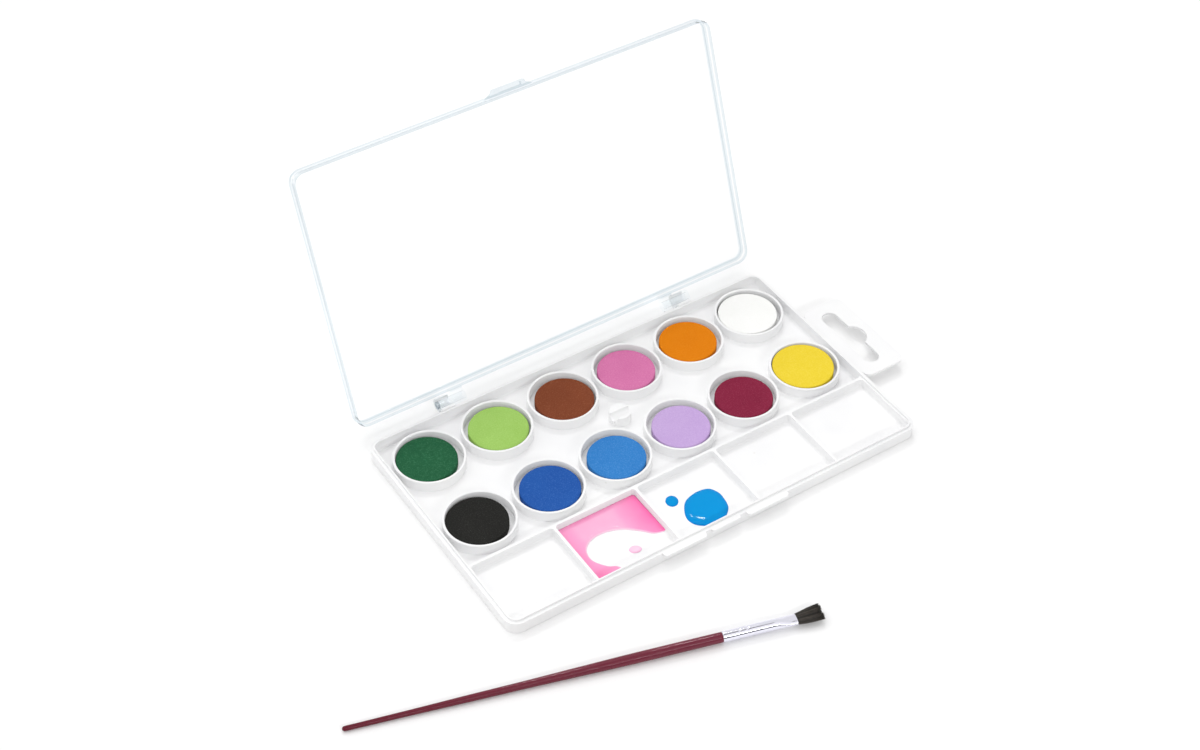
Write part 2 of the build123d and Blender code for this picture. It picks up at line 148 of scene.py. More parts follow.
@dataclass
class Skin:
    """A closed surface: points in mm, four- and three-sided faces, and values per point."""

    points: np.ndarray
    quads: np.ndarray
    triangles: np.ndarray
    values: dict[str, np.ndarray]

    def volume(self) -> float:
        """Give the signed volume: the sum of a . (b x c) / 6 over the faces cut into triangles.

        Returns:
            The volume in cubic mm, below 0 where the faces point inwards.
        """
        halves = np.concatenate([self.triangles, self.quads[:, [0, 1, 2]], self.quads[:, [0, 2, 3]]])
        a, b, c = (self.points[halves[:, corner]] for corner in range(3))
        return float(np.einsum("ij,ij->i", a, np.cross(b, c)).sum() / 6.0)

    def facing_out(self) -> Skin:
        """Give the same skin with its faces pointing outwards."""
        if self.volume() >= 0.0:
            return self
        return Skin(self.points, self.quads[:, ::-1], self.triangles[:, ::-1], self.values)

    def to_object(self, name: str) -> bpy.types.Object:
        """Put the skin into a smooth mesh whose object sits at the origin.

        Args:
            name: Name of the new piece.

        Returns:
            The new object, linked to the scene.
        """
        skin = self.facing_out()
        loops = np.concatenate([skin.quads.ravel(), skin.triangles.ravel()])
        sizes = np.concatenate([np.full(len(skin.quads), 4), np.full(len(skin.triangles), 3)])
        mesh = bpy.data.meshes.new(name)
        mesh.vertices.add(len(skin.points))
        mesh.vertices.foreach_set("co", (skin.points * MM).astype(np.float32).ravel())
        mesh.loops.add(len(loops))
        mesh.loops.foreach_set("vertex_index", loops.astype(np.int32))
        mesh.polygons.add(len(sizes))
        mesh.polygons.foreach_set("loop_start", (np.cumsum(sizes) - sizes).astype(np.int32))
        mesh.polygons.foreach_set("use_smooth", np.ones(len(sizes), dtype=bool))
        for label, values in skin.values.items():
            layer = mesh.attributes.new(label, "FLOAT", "POINT")
            layer.data.foreach_set("value", values.astype(np.float32).ravel())
        mesh.update(calc_edges=True)
        mesh.validate()
        made = bpy.data.objects.new(name, mesh)
        bpy.context.scene.collection.objects.link(made)
        return made


def skin_over(rings: np.ndarray, **values: np.ndarray) -> Skin:
    """Close a skin over a stack of rings: quads between rings, and a fan over each end.

    Args:
        rings: Points of shape (rings, sides, 3), or (shells, rings, sides, 3) for
            many shells that are built alike.
        values: Named values in the shape of the rings without their last axis.

    Returns:
        One skin that holds every shell.
    """
    stacks = rings if rings.ndim == 4 else rings[None]
    shells, count, sides, _ = stacks.shape
    ring, side = np.meshgrid(np.arange(count - 1), np.arange(sides), indexing="ij")
    near, far = ring * sides, (ring + 1) * sides
    after = (side + 1) % sides
    quads = np.stack([near + side, near + after, far + after, far + side], axis=-1).reshape(-1, 4)
    here = np.arange(sides)
    there = (here + 1) % sides
    first_end = count * sides
    last_ring = (count - 1) * sides
    first_fan = np.stack([np.full(sides, first_end), there, here], axis=-1)
    last_fan = np.stack([np.full(sides, first_end + 1), last_ring + here, last_ring + there], axis=-1)
    fans = np.concatenate([first_fan, last_fan])

    def with_ends(grid: np.ndarray) -> np.ndarray:
        """Add the means of the first and the last ring of each shell after its own points.

        Args:
            grid: Points or values of shape (shells, rings, sides, ...).

        Returns:
            One row for each point.
        """
        ends = np.stack([grid[:, 0].mean(axis=1), grid[:, -1].mean(axis=1)], axis=1)
        flat = grid.reshape(shells, count * sides, *grid.shape[3:])
        return np.concatenate([flat, ends], axis=1).reshape(-1, *grid.shape[3:])

    steps = (np.arange(shells) * (count * sides + 2))[:, None, None]
    lined_up = {label: with_ends(grid.reshape(shells, count, sides)) for label, grid in values.items()}
    return Skin(
        with_ends(stacks),
        (quads[None] + steps).reshape(-1, 4),
        (fans[None] + steps).reshape(-1, 3),
        lined_up,
    )


def smooth_path(knots: np.ndarray, steps: int, closed: bool = False) -> np.ndarray:
    """Carry a Catmull-Rom curve through knots.

    Each stretch is a cubic that passes a knot along the chord of its two neighbours.

    Args:
        knots: Knots of shape (count, dimensions).
        steps: Points for each stretch.
        closed: Whether the last knot joins the first.

    Returns:
        Points along the curve.
    """
    if closed:
        padded = np.concatenate([knots[-1:], knots, knots[:2]])
    else:
        padded = np.concatenate([2 * knots[:1] - knots[1:2], knots, 2 * knots[-1:] - knots[-2:-1]])
    share = np.linspace(0.0, 1.0, steps, endpoint=False)[None, :, None]
    before, start, end, after = (padded[i : len(padded) - 3 + i, None, :] for i in range(4))
    curve = 0.5 * (
        2 * start
        + (end - before) * share
        + (2 * before - 5 * start + 4 * end - after) * share**2
        + (3 * start - before - 3 * end + after) * share**3
    )
    points = curve.reshape(-1, knots.shape[1])
    return points if closed else np.concatenate([points, knots[-1:]])


def reach_at(outline: np.ndarray, angles: np.ndarray) -> np.ndarray:
    """Give an outline's distance from the origin at each angle.

    Args:
        outline: Points (x, y) that go round the origin once, in mm.
        angles: Angles to look along, in radians.

    Returns:
        A distance for each angle.
    """
    bearing = np.unwrap(np.arctan2(outline[:, 1], outline[:, 0]))
    if bearing[-1] < bearing[0]:
        bearing, outline = bearing[::-1], outline[::-1]
    distance = np.hypot(outline[:, 0], outline[:, 1])
    laps = np.concatenate([bearing - TURN, bearing, bearing + TURN])
    order = np.argsort(laps, kind="stable")
    return np.interp(angles, laps[order], np.tile(distance, 3)[order])


class Graph:
    """A node tree with short calls to add nodes and join them."""

    def __init__(self, tree: bpy.types.NodeTree) -> None:
        """Take the tree that the calls work on."""
        self.tree = tree

    def fill(self, node: bpy.types.Node, sockets: dict[Any, Any]) -> None:
        """Fill or join inputs of a node.

        Args:
            node: The node.
            sockets: Value or source socket for each input, by name or by number.
        """
        for label, value in sockets.items():
            if isinstance(value, bpy.types.NodeSocket):
                self.tree.links.new(value, node.inputs[label])
            else:
                node.inputs[label].default_value = value

    def add(self, kind: str, sockets: dict[Any, Any] | None = None, **settings: Any) -> bpy.types.Node:
        """Add a node, set its properties, and fill or join its inputs.

        Args:
            kind: Blender's name for the kind of node.
            sockets: Value or source socket for each input, by name or by number.
            settings: Properties of the node.

        Returns:
            The new node.
        """
        node = self.tree.nodes.new(kind)
        for label, value in settings.items():
            setattr(node, label, value)
        self.fill(node, sockets or {})
        return node

    def group(self, tree: bpy.types.NodeTree, sockets: dict[str, Any]) -> bpy.types.Node:
        """Place a shared node group, and fill or join its inputs."""
        return self.add("ShaderNodeGroup", sockets, node_tree=tree)

    def math(self, operation: str, *values: Any, clamp: bool = False) -> bpy.types.NodeSocket:
        """Add a Math node over the values and give its result."""
        node = self.add("ShaderNodeMath", dict(enumerate(values)), operation=operation, use_clamp=clamp)
        return node.outputs[0]

    def mix(self, share: Any, first: Any, second: Any) -> bpy.types.NodeSocket:
        """Mix two colours by a share and give the colour."""
        return self.add("ShaderNodeMix", {0: share, 6: first, 7: second}, data_type="RGBA").outputs[2]

    def blend(self, share: Any, first: Any, second: Any) -> bpy.types.NodeSocket:
        """Mix two values by a share and give the value."""
        return self.add("ShaderNodeMix", {0: share, 2: first, 3: second}, data_type="FLOAT").outputs[0]

    def stretch(self, value: Any, low: float, high: float, to_low: float = 0.0, to_high: float = 1.0) -> Any:
        """Map the range low to high onto another range, clamped, and give the result."""
        sockets = {0: value, 1: low, 2: high, 3: to_low, 4: to_high}
        return self.add("ShaderNodeMapRange", sockets, clamp=True).outputs[0]

    def noise(self, scale: Any, detail: float, place: Any = None) -> bpy.types.NodeSocket:
        """Add a noise pattern.

        Args:
            scale: Its scale, a value or a source.
            detail: How many finer layers it has.
            place: Source of its coordinates; Object coordinates where none is given.

        Returns:
            Its value.
        """
        spot = place if place is not None else self.add("ShaderNodeTexCoord").outputs["Object"]
        sockets = {"Vector": spot, "Scale": scale, "Detail": detail, "Roughness": NOISE_ROUGHNESS}
        return self.add("ShaderNodeTexNoise", sockets).outputs[0]

    def uneven(self, scale: float, low: float, high: float, detail: float = 2.0) -> bpy.types.NodeSocket:
        """Give a value that wanders between low and high over the surface."""
        return self.stretch(self.noise(scale, detail), *NOISE_SPAN, low, high)

    def turned(self, angle: float) -> bpy.types.NodeSocket:
        """Give Object coordinates turned about Z by an angle in radians."""
        place = self.add("ShaderNodeTexCoord").outputs["Object"]
        return self.add("ShaderNodeMapping", {"Vector": place, "Rotation": (0.0, 0.0, angle)}).outputs[0]

    def bounced(self, colour: Any, cast: Colour, share: float) -> bpy.types.NodeSocket:
        """Give the colour as it is seen, and for a diffuse ray the cast's tone by a share."""
        path = self.add("ShaderNodeLightPath")
        return self.mix(self.math("MULTIPLY", path.outputs["Is Diffuse Ray"], share), colour, cast)

    def emboss(self, shader: bpy.types.Node, height: Any, depth: float, strength: float) -> None:
        """Give a shader a relief.

        Args:
            shader: The shader that takes the relief.
            height: Source of the height, 0 to 1.
            depth: What a height of 1 stands for, in mm.
            strength: Share of the relief that shows.
        """
        bump = self.add("ShaderNodeBump", {"Height": height, "Distance": depth * MM, "Strength": strength})
        self.fill(shader, {"Normal": bump.outputs[0]})


class Effects:
    """Node groups that more than one material uses, each built once, and the materials made with them.

    Each pair says at which values of its pattern an effect begins and is full.
    """

    clouds: tuple[float, float] = (0.35, 0.68)
    dark_grains: tuple[float, float] = (0.48, 0.3)
    pale_grains: tuple[float, float] = (0.52, 0.7)
    speck_edge: tuple[float, float] = (0.0, 0.12)
    line_edge: tuple[float, float] = (0.0, 0.16)
    line_cut: float = 0.62

    def __init__(self) -> None:
        """Build the groups."""
        self.made: dict[Finish, bpy.types.Material] = {}
        self.grain = self._grain()
        self.powder = self._powder()
        self.specks = self._specks()
        self.hairlines = self._hairlines()

    @staticmethod
    def _group(
        name: str, inputs: dict[str, tuple[Socket, Any]], outputs: dict[str, Socket]
    ) -> tuple[Graph, Any, bpy.types.Node]:
        """Start a group with its named sockets.

        Args:
            name: Name of the group.
            inputs: Kind and first value of each input.
            outputs: Kind of each output.

        Returns:
            The group's graph, the sockets that give its inputs, and its output node.
        """
        tree = bpy.data.node_groups.new(name, "ShaderNodeTree")
        for label, (kind, value) in inputs.items():
            socket = tree.interface.new_socket(label, in_out="INPUT", socket_type=kind.value)
            socket.default_value = value
        for label, kind in outputs.items():
            tree.interface.new_socket(label, in_out="OUTPUT", socket_type=kind.value)
        graph = Graph(tree)
        return graph, graph.add("NodeGroupInput").outputs, graph.add("NodeGroupOutput")

    def _grain(self) -> bpy.types.NodeTree:
        """Build soft clouds of a second tone, with an uneven gloss and a fine height.

        Returns:
            The group.
        """
        inputs = {
            "Colour": (Socket.COLOUR, grey(0.8)),
            "Tint": (Socket.COLOUR, grey(0.7)),
            "Cloud Scale": (Socket.NUMBER, 60.0),
            "Grain Scale": (Socket.NUMBER, 1500.0),
            "Roughness": (Socket.NUMBER, 0.4),
            "Roughness Spread": (Socket.NUMBER, 0.08),
        }
        outputs = {"Colour": Socket.COLOUR, "Roughness": Socket.NUMBER, "Height": Socket.NUMBER}
        graph, given, result = self._group("soft_grain", inputs, outputs)
        clouds = graph.stretch(graph.noise(given["Cloud Scale"], 3.0), *self.clouds)
        fine = graph.noise(given["Grain Scale"], 2.0)
        swing = graph.math("MULTIPLY", graph.math("SUBTRACT", fine, 0.5), given["Roughness Spread"])
        sockets = {
            "Colour": graph.mix(clouds, given["Colour"], given["Tint"]),
            "Roughness": graph.math("ADD", given["Roughness"], swing),
            "Height": fine,
        }
        graph.fill(result, sockets)
        return graph.tree

    def _powder(self) -> bpy.types.NodeTree:
        """Build a powder's grain: a middle tone that turns darker and paler from grain to grain.

        Returns:
            The group.
        """
        inputs = {
            "Colour": (Socket.COLOUR, grey(0.5)),
            "Shade": (Socket.COLOUR, grey(0.4)),
            "Bloom": (Socket.COLOUR, grey(0.6)),
            "Scale": (Socket.NUMBER, 2300.0),
            "Share": (Socket.NUMBER, 0.38),
        }
        graph, given, result = self._group("powder", inputs, {"Colour": Socket.COLOUR})
        fine = graph.noise(given["Scale"], 3.0)
        dark = graph.math("MULTIPLY", graph.stretch(fine, *self.dark_grains), given["Share"])
        pale = graph.math("MULTIPLY", graph.stretch(fine, *self.pale_grains), given["Share"])
        shaded = graph.mix(dark, given["Colour"], given["Shade"])
        graph.fill(result, {"Colour": graph.mix(pale, shaded, given["Bloom"])})
        return graph.tree

    def _specks(self) -> bpy.types.NodeTree:
        """Build scattered specks: cells of which some, by their own random value, show a dot.

        Returns:
            The group.
        """
        inputs = {
            "Scale": (Socket.NUMBER, 1200.0),
            "Size": (Socket.NUMBER, 0.3),
            "Share": (Socket.NUMBER, 0.3),
        }
        graph, given, result = self._group("fine_specks", inputs, {"Mask": Socket.NUMBER})
        place = graph.add("ShaderNodeTexCoord").outputs["Object"]
        cells = graph.add("ShaderNodeTexVoronoi", {"Vector": place, "Scale": given["Scale"]})
        split = graph.add("ShaderNodeSeparateColor", {0: cells.outputs["Color"]})
        chosen = graph.math("LESS_THAN", split.outputs[0], given["Share"])
        near = graph.math("SUBTRACT", given["Size"], cells.outputs["Distance"])
        dot = graph.stretch(near, *self.speck_edge)
        graph.fill(result, {"Mask": graph.math("MULTIPLY", chosen, dot)})
        return graph.tree

    def _hairlines(self) -> bpy.types.NodeTree:
        """Build fine lines: noise that shows where it rises over a cut, which is lower for a larger share.

        Returns:
            The group.
        """
        inputs = {
            "Vector": (Socket.PLACE, (0.0, 0.0, 0.0)),
            "Scale": (Socket.NUMBER, 400.0),
            "Share": (Socket.NUMBER, 0.4),
        }
        graph, given, result = self._group("hairlines", inputs, {"Mask": Socket.NUMBER})
        lines = graph.noise(given["Scale"], 5.0, given["Vector"])
        bare = graph.math("SUBTRACT", 1.0, given["Share"])
        over = graph.math("SUBTRACT", lines, graph.math("MULTIPLY", bare, self.line_cut))
        graph.fill(result, {"Mask": graph.stretch(over, *self.line_edge)})
        return graph.tree


@dataclass(frozen=True)
class Grain:
    """A soft grain: the scales of its clouds and grains, its gloss, and its relief in mm."""

    cloud_scale: float
    grain_scale: float
    roughness: float
    roughness_spread: float
    relief: float
    relief_share: float

    def lay(
        self, graph: Graph, shader: bpy.types.Node, effects: Effects, tones: tuple[Colour, Colour]
    ) -> bpy.types.NodeSocket:
        """Join the grain's gloss and relief to a shader.

        Args:
            graph: The material's graph.
            shader: The shader.
            effects: The shared node groups.
            tones: The colour and the tint of its clouds.

        Returns:
            The clouded colour, which isn't joined yet.
        """
        sockets = {
            "Colour": tones[0],
            "Tint": tones[1],
            "Cloud Scale": self.cloud_scale,
            "Grain Scale": self.grain_scale,
            "Roughness": self.roughness,
            "Roughness Spread": self.roughness_spread,
        }
        grain = graph.group(effects.grain, sockets)
        graph.fill(shader, {"Roughness": grain.outputs["Roughness"]})
        graph.emboss(shader, grain.outputs["Height"], self.relief, self.relief_share)
        return grain.outputs["Colour"]


@dataclass(frozen=True)
class Lines:
    """Fine lines: how far each axis is squeezed, which draws them out, their scale, share and turn."""

    squeeze: tuple[float, float, float]
    scale: float
    share: float
    turn: float = 0.0

    def lay(self, graph: Graph, place: Any, effects: Effects) -> bpy.types.NodeSocket:
        """Run the lines over a place.

        Args:
            graph: The material's graph.
            place: Source of the coordinates.
            effects: The shared node groups.

        Returns:
            The lines' mask.
        """
        mapping = {"Vector": place, "Rotation": (0.0, 0.0, self.turn), "Scale": self.squeeze}
        drawn_out = graph.add("ShaderNodeMapping", mapping).outputs[0]
        sockets = {"Vector": drawn_out, "Scale": self.scale, "Share": self.share}
        return graph.group(effects.hairlines, sockets).outputs["Mask"]


@dataclass(frozen=True)
class Finish:
    """The surface of one kind of piece; each kind dresses its own Principled shader."""

    slot: str
    colour: Colour

    def material(self, effects: Effects) -> bpy.types.Material:
        """Give the finish's material, made with its shader and patterns the first time.

        Args:
            effects: The shared node groups and the materials made so far.

        Returns:
            The material.
        """
        if self in effects.made:
            return effects.made[self]
        made = bpy.data.materials.new(f"{self.slot}_finish")
        effects.made[self] = made
        made.use_nodes = True
        made.diffuse_color = self.colour
        made.node_tree.nodes.clear()
        graph = Graph(made.node_tree)
        shader = graph.add("ShaderNodeBsdfPrincipled", {"Base Color": self.colour})
        graph.add("ShaderNodeOutputMaterial", {"Surface": shader.outputs[0]})
        self.dress(graph, shader, effects)
        return made

    def dress(self, graph: Graph, shader: bpy.types.Node, effects: Effects) -> None:
        """Set the shader's values and join its patterns; a plain finish adds nothing.

        Args:
            graph: The material's graph.
            shader: The material's shader.
            effects: The shared node groups.
        """


@dataclass(frozen=True)
class SatinPolystyrene(Finish):
    """White moulded polystyrene: faint clouds, a satin gloss and a little handling dust."""

    tint: Colour = tone(244, 244, 245)
    dust: Colour = tone(230, 229, 226)
    dust_scale: float = 160.0
    dust_size: float = 0.1
    dust_share: float = 0.05
    ior: float = 1.5
    grain: Grain = Grain(
        cloud_scale=38.0,
        grain_scale=2600.0,
        roughness=0.38,
        roughness_spread=0.16,
        relief=0.003,
        relief_share=0.6,
    )

    def dress(self, graph: Graph, shader: bpy.types.Node, effects: Effects) -> None:
        """Join the clouds, the specks of dust and the moulded grain.

        Args:
            graph: The material's graph.
            shader: The material's shader.
            effects: The shared node groups.
        """
        clouded = self.grain.lay(graph, shader, effects, (self.colour, self.tint))
        sockets = {"Scale": self.dust_scale, "Size": self.dust_size, "Share": self.dust_share}
        specks = graph.group(effects.specks, sockets)
        dusted = graph.mix(specks.outputs["Mask"], clouded, self.dust)
        graph.fill(shader, {"Base Color": dusted, "IOR": self.ior})


@dataclass(frozen=True)
class ClearPolystyrene(Finish):
    """Clear moulded polystyrene: almost colourless in its plate and cooler where it is seen on edge.

    The front wall and the wall on the left get a painted striped shade: grey-blue bands that stand in for
    what refraction shows through their depth on edge. The other two are clear between painted dark lines at
    their rim and at their foot, and the barrel's hollow mouth gets painted shade.

    The parts are told apart in the lid's own frame: Object coordinates are turned
    back about the hinge by the open angle, so the plate is a level rectangle. Its
    sizes and places are in mm from the hinge's axis, and each mask blends over the
    edge on both sides of its limit.
    """

    # Painted shade: the skirt's tint and its stripes stand in for the grey-blue bands that refraction shows
    # through the front and left walls on edge, the edge colour paints dark lines at the other walls' rim and
    # foot, and the darkest tone paints shade in the mouth of the hollow barrel.
    skirt: Colour = grey(1.0)
    painted_stripe_shade: Colour = grey(1.0)
    pale: Colour = grey(1.0)
    painted_edge_line: Colour = grey(1.0)
    barrel: Colour = grey(1.0)
    painted_bore_shade: Colour = grey(1.0)
    ior: float = 1.03
    coat: float = 0.22
    coat_roughness: float = 0.03
    shadow_share: float = 0.12
    hinge: tuple[float, float] = (55.0, 5.1)
    open_angle: float = 110.55
    plate_half: tuple[float, float] = (88.15, 50.15)
    plate_corner: float = 3.6
    barrel_reach: float = 2.9
    bore_reach: float = 1.575
    bore_edge: float = 0.075
    bore_mouth: float = -57.1
    mouth_half: float = 0.8
    left_wall: float = -88.2
    front_wall: float = -105.2
    rim_line: float = 0.35
    foot_line: float = 2.75
    foot_edge: float = 0.15
    edge: float = 0.1
    stripes: Lines = Lines((0.01, 0.01, 1.0), 700.0, 0.5)
    scratches: Lines = Lines((1.0, 14.0, 1.0), 34.0, 0.2, turn=0.7)
    scratch_roughness: float = 0.06

    def from_hinge(self, graph: Graph) -> bpy.types.NodeSocket:
        """Give the place on the shut lid, measured from the hinge's axis.

        Args:
            graph: The material's graph.

        Returns:
            Object coordinates, moved by the hinge's place and turned back to shut.
        """
        turn = math.radians(self.open_angle)
        y, z = self.hinge
        back_y = -(y * math.cos(turn) - z * math.sin(turn)) * MM
        back_z = -(y * math.sin(turn) + z * math.cos(turn)) * MM
        place = graph.add("ShaderNodeTexCoord").outputs["Object"]
        sockets = {"Vector": place, "Location": (0.0, back_y, back_z), "Rotation": (turn, 0.0, 0.0)}
        return graph.add("ShaderNodeMapping", sockets).outputs[0]

    @staticmethod
    def under(graph: Graph, value: Any, limit: float, edge: float) -> bpy.types.NodeSocket:
        """Give 1 where a value is under a limit in mm, or over it if the edge is negative."""
        return graph.stretch(value, (limit + edge) * MM, (limit - edge) * MM)

    def on_plate(self, graph: Graph, x: Any, y: Any) -> bpy.types.NodeSocket:
        """Give 1 on the plate inside the skirt.

        The distance of a rounded rectangle is the length of the part of (x, y)
        that lies past the middles of its corners, and is under the corner's
        radius inside.

        Args:
            graph: The material's graph.
            x: Place along the hinge.
            y: Place across the hinge.

        Returns:
            The plate's mask.
        """
        past = []
        for value, middle, half in ((x, 0.0, self.plate_half[0]), (y, -self.hinge[0], self.plate_half[1])):
            away = graph.math("ABSOLUTE", graph.math("SUBTRACT", value, middle * MM))
            beyond = graph.math("SUBTRACT", away, (half - self.plate_corner) * MM)
            past.append(graph.math("POWER", graph.math("MAXIMUM", beyond, 0.0), 2.0))
        reach = graph.math("SQRT", graph.math("ADD", *past))
        return self.under(graph, reach, self.plate_corner, self.edge)

    def walls(self, graph: Graph, place: tuple[Any, Any, Any], striped: Any) -> bpy.types.NodeSocket:
        """Give the skirt's colour: striped in front and on the left, and lined on the other sides.

        Args:
            graph: The material's graph.
            place: The three coordinates on the shut lid.
            striped: The striped colour.

        Returns:
            The colour.
        """
        x, y, z = place
        left = self.under(graph, x, self.left_wall, self.edge)
        front = self.under(graph, y, self.front_wall, self.edge)
        rim = self.under(graph, z, self.rim_line, self.edge)
        foot = self.under(graph, z, self.foot_line, -self.foot_edge)
        # painted shade: dark lines at the rim and the foot of the right and back walls
        lined = graph.mix(graph.math("MAXIMUM", rim, foot), self.pale, self.painted_edge_line)
        # painted striped shade on the front and left walls
        return graph.mix(graph.math("MAXIMUM", left, front), lined, striped)

    def dress(self, graph: Graph, shader: bpy.types.Node, effects: Effects) -> None:
        """Set the clear plastic, tint the skirt and the barrels, and lighten its shadow.

        Args:
            graph: The material's graph.
            shader: The material's shader.
            effects: The shared node groups.
        """
        shut = self.from_hinge(graph)
        x, y, z = graph.add("ShaderNodeSeparateXYZ", {0: shut}).outputs
        plate = self.on_plate(graph, x, y)
        squares = (graph.math("POWER", y, 2.0), graph.math("POWER", z, 2.0))
        radius = graph.math("SQRT", graph.math("ADD", *squares))
        in_barrel = self.under(graph, radius, self.barrel_reach, self.edge)
        in_bore = self.under(graph, radius, self.bore_reach, self.bore_edge)
        # painted shade: a dark tint in the mouth of the hollow barrel, where its own shade falls
        from_mouth = graph.math("ABSOLUTE", graph.math("SUBTRACT", x, self.bore_mouth * MM))
        painted_mouth_shade = graph.math("MULTIPLY", in_bore, self.under(graph, from_mouth, self.mouth_half, self.edge))
        # painted shade bands for the refraction seen through the walls on edge
        striped = graph.mix(self.stripes.lay(graph, shut, effects), self.skirt, self.painted_stripe_shade)
        hinged = graph.mix(in_barrel, self.walls(graph, (x, y, z), striped), self.barrel)
        moulded = graph.mix(painted_mouth_shade, hinged, self.painted_bore_shade)
        scratched = graph.math("MULTIPLY", plate, self.scratches.lay(graph, shut, effects))
        path = graph.add("ShaderNodeLightPath")
        held_back = graph.blend(in_barrel, self.shadow_share, 0.0)
        sockets = {
            "Transmission Weight": 1.0,
            "IOR": self.ior,
            "Coat Weight": self.coat,
            "Coat Roughness": self.coat_roughness,
            "Base Color": graph.mix(plate, moulded, self.colour),
            "Roughness": graph.stretch(scratched, 0.0, 1.0, 0.0, self.scratch_roughness),
            "Alpha": graph.blend(path.outputs["Is Shadow Ray"], 1.0, held_back),
        }
        graph.fill(shader, sockets)


@dataclass(frozen=True)
class PressedPaint(Finish):
    """Pressed watercolour: matte powder with darker clouds and paler and darker grains.

    A diffuse ray meets a greyer tone, so a cake hardly stains the ring round it.
    """

    shade: Colour = grey(0.0)
    bloom: Colour = grey(1.0)
    cast: Colour = grey(0.62)
    cast_share: float = 0.8
    mellow_share: float = 0.33
    specular: float = 0.1
    grain: Grain = Grain(
        cloud_scale=70.0,
        grain_scale=3200.0,
        roughness=0.86,
        roughness_spread=0.2,
        relief=0.04,
        relief_share=0.8,
    )

    def dress(self, graph: Graph, shader: bpy.types.Node, effects: Effects) -> None:
        """Join the clouds, the powder's grains and its relief.

        Args:
            graph: The material's graph.
            shader: The material's shader.
            effects: The shared node groups.
        """
        clouded = self.grain.lay(graph, shader, effects, (self.colour, self.mellow()))
        powder = graph.group(effects.powder, {"Colour": clouded, "Shade": self.shade, "Bloom": self.bloom})
        seen = graph.bounced(powder.outputs["Colour"], self.cast, self.cast_share)
        graph.fill(shader, {"Base Color": seen, "Specular IOR Level": self.specular})

    def mellow(self) -> Colour:
        """Give the tone of the clouds, a third of the way from the colour to its shade."""
        mixed = np.array(self.colour) * (1.0 - self.mellow_share) + np.array(self.shade) * self.mellow_share
        return tuple(float(value) for value in mixed)


@dataclass(frozen=True)
class WetPaint(Finish):
    """Wet watercolour: a glossy film whose colour deepens with the paint under it.

    A diffuse ray meets a paler tone, so the paint hardly stains the well's walls.
    """

    thin: Colour = grey(1.0)
    deep: Colour = grey(0.5)
    cast: Colour = grey(0.85)
    cast_share: float = 0.7
    middle: float = 0.4
    streak_scale: float = 95.0
    streaks: tuple[float, float] = (0.9, 1.1)
    roughness: float = 0.03
    ior: float = 1.33
    specular: float = 0.2
    ripple_scale: float = 260.0
    relief: float = 0.006
    relief_share: float = 0.3

    def dress(self, graph: Graph, shader: bpy.types.Node, effects: Effects) -> None:
        """Colour the film by its depth value, with slow streaks, under a wet gloss.

        Args:
            graph: The material's graph.
            shader: The material's shader.
            effects: The shared node groups.
        """
        depth = graph.add("ShaderNodeAttribute", attribute_name="depth").outputs["Fac"]
        streaks = graph.uneven(self.streak_scale, *self.streaks, detail=3.0)
        stirred = graph.math("MULTIPLY", depth, streaks, clamp=True)
        ramp = graph.add("ShaderNodeValToRGB", {"Fac": stirred})
        ramp.color_ramp.elements[0].color = self.thin
        ramp.color_ramp.elements[1].color = self.deep
        ramp.color_ramp.elements.new(self.middle).color = self.colour
        sockets = {
            "Base Color": graph.bounced(ramp.outputs[0], self.cast, self.cast_share),
            "Roughness": self.roughness,
            "IOR": self.ior,
            "Specular IOR Level": self.specular,
        }
        graph.fill(shader, sockets)
        graph.emboss(shader, graph.noise(self.ripple_scale, 2.0), self.relief, self.relief_share)


@dataclass(frozen=True)
class Lacquer(Finish):
    """Lacquered wood: long grain under a clear coat that has set unevenly, deeper towards the tail."""

    dark: Colour = grey(0.0)
    tail: Colour = grey(0.0)
    turn: float = 0.0
    tail_end: float = -135.0
    ferrule_end: float = -3.0
    tail_share: float = 0.9
    wood: Lines = Lines((0.05, 1.0, 1.0), 900.0, 0.45)
    wood_share: float = 0.6
    peel_scale: float = 420.0
    roughness: tuple[float, float] = (0.2, 0.32)
    specular: float = 0.06
    coat: float = 0.4
    coat_roughness: float = 0.03

    def dress(self, graph: Graph, shader: bpy.types.Node, effects: Effects) -> None:
        """Run the wood's lines along the handle, deepen the lacquer to the tail, and set the coat.

        Args:
            graph: The material's graph.
            shader: The material's shader.
            effects: The shared node groups.
        """
        place = graph.turned(self.turn)
        lines = graph.math("MULTIPLY", self.wood.lay(graph, place, effects), self.wood_share)
        along = graph.add("ShaderNodeSeparateXYZ", {0: place}).outputs[0]
        to_tail = graph.stretch(along, self.ferrule_end * MM, self.tail_end * MM)
        deepening = graph.math("MULTIPLY", to_tail, self.tail_share)
        sockets = {
            "Base Color": graph.mix(deepening, graph.mix(lines, self.colour, self.dark), self.tail),
            "Roughness": graph.uneven(self.peel_scale, *self.roughness),
            "Specular IOR Level": self.specular,
            "Coat Weight": self.coat,
            "Coat Roughness": self.coat_roughness,
        }
        graph.fill(shader, sockets)


@dataclass(frozen=True)
class DrawnAluminium(Finish):
    """Drawn aluminium tube: bright, with lengthwise hairlines from its die."""

    turn: float = 0.0
    die_lines: Lines = Lines((0.04, 1.0, 1.0), 2600.0, 0.4)
    roughness: tuple[float, float] = (0.045, 0.06)
    metallic: float = 0.9

    def dress(self, graph: Graph, shader: bpy.types.Node, effects: Effects) -> None:
        """Set the metal and run the hairlines along the tube.

        Args:
            graph: The material's graph.
            shader: The material's shader.
            effects: The shared node groups.
        """
        drawn = self.die_lines.lay(graph, graph.turned(self.turn), effects)
        rough = graph.stretch(drawn, 0.0, 1.0, *self.roughness)
        graph.fill(shader, {"Roughness": rough, "Metallic": self.metallic})


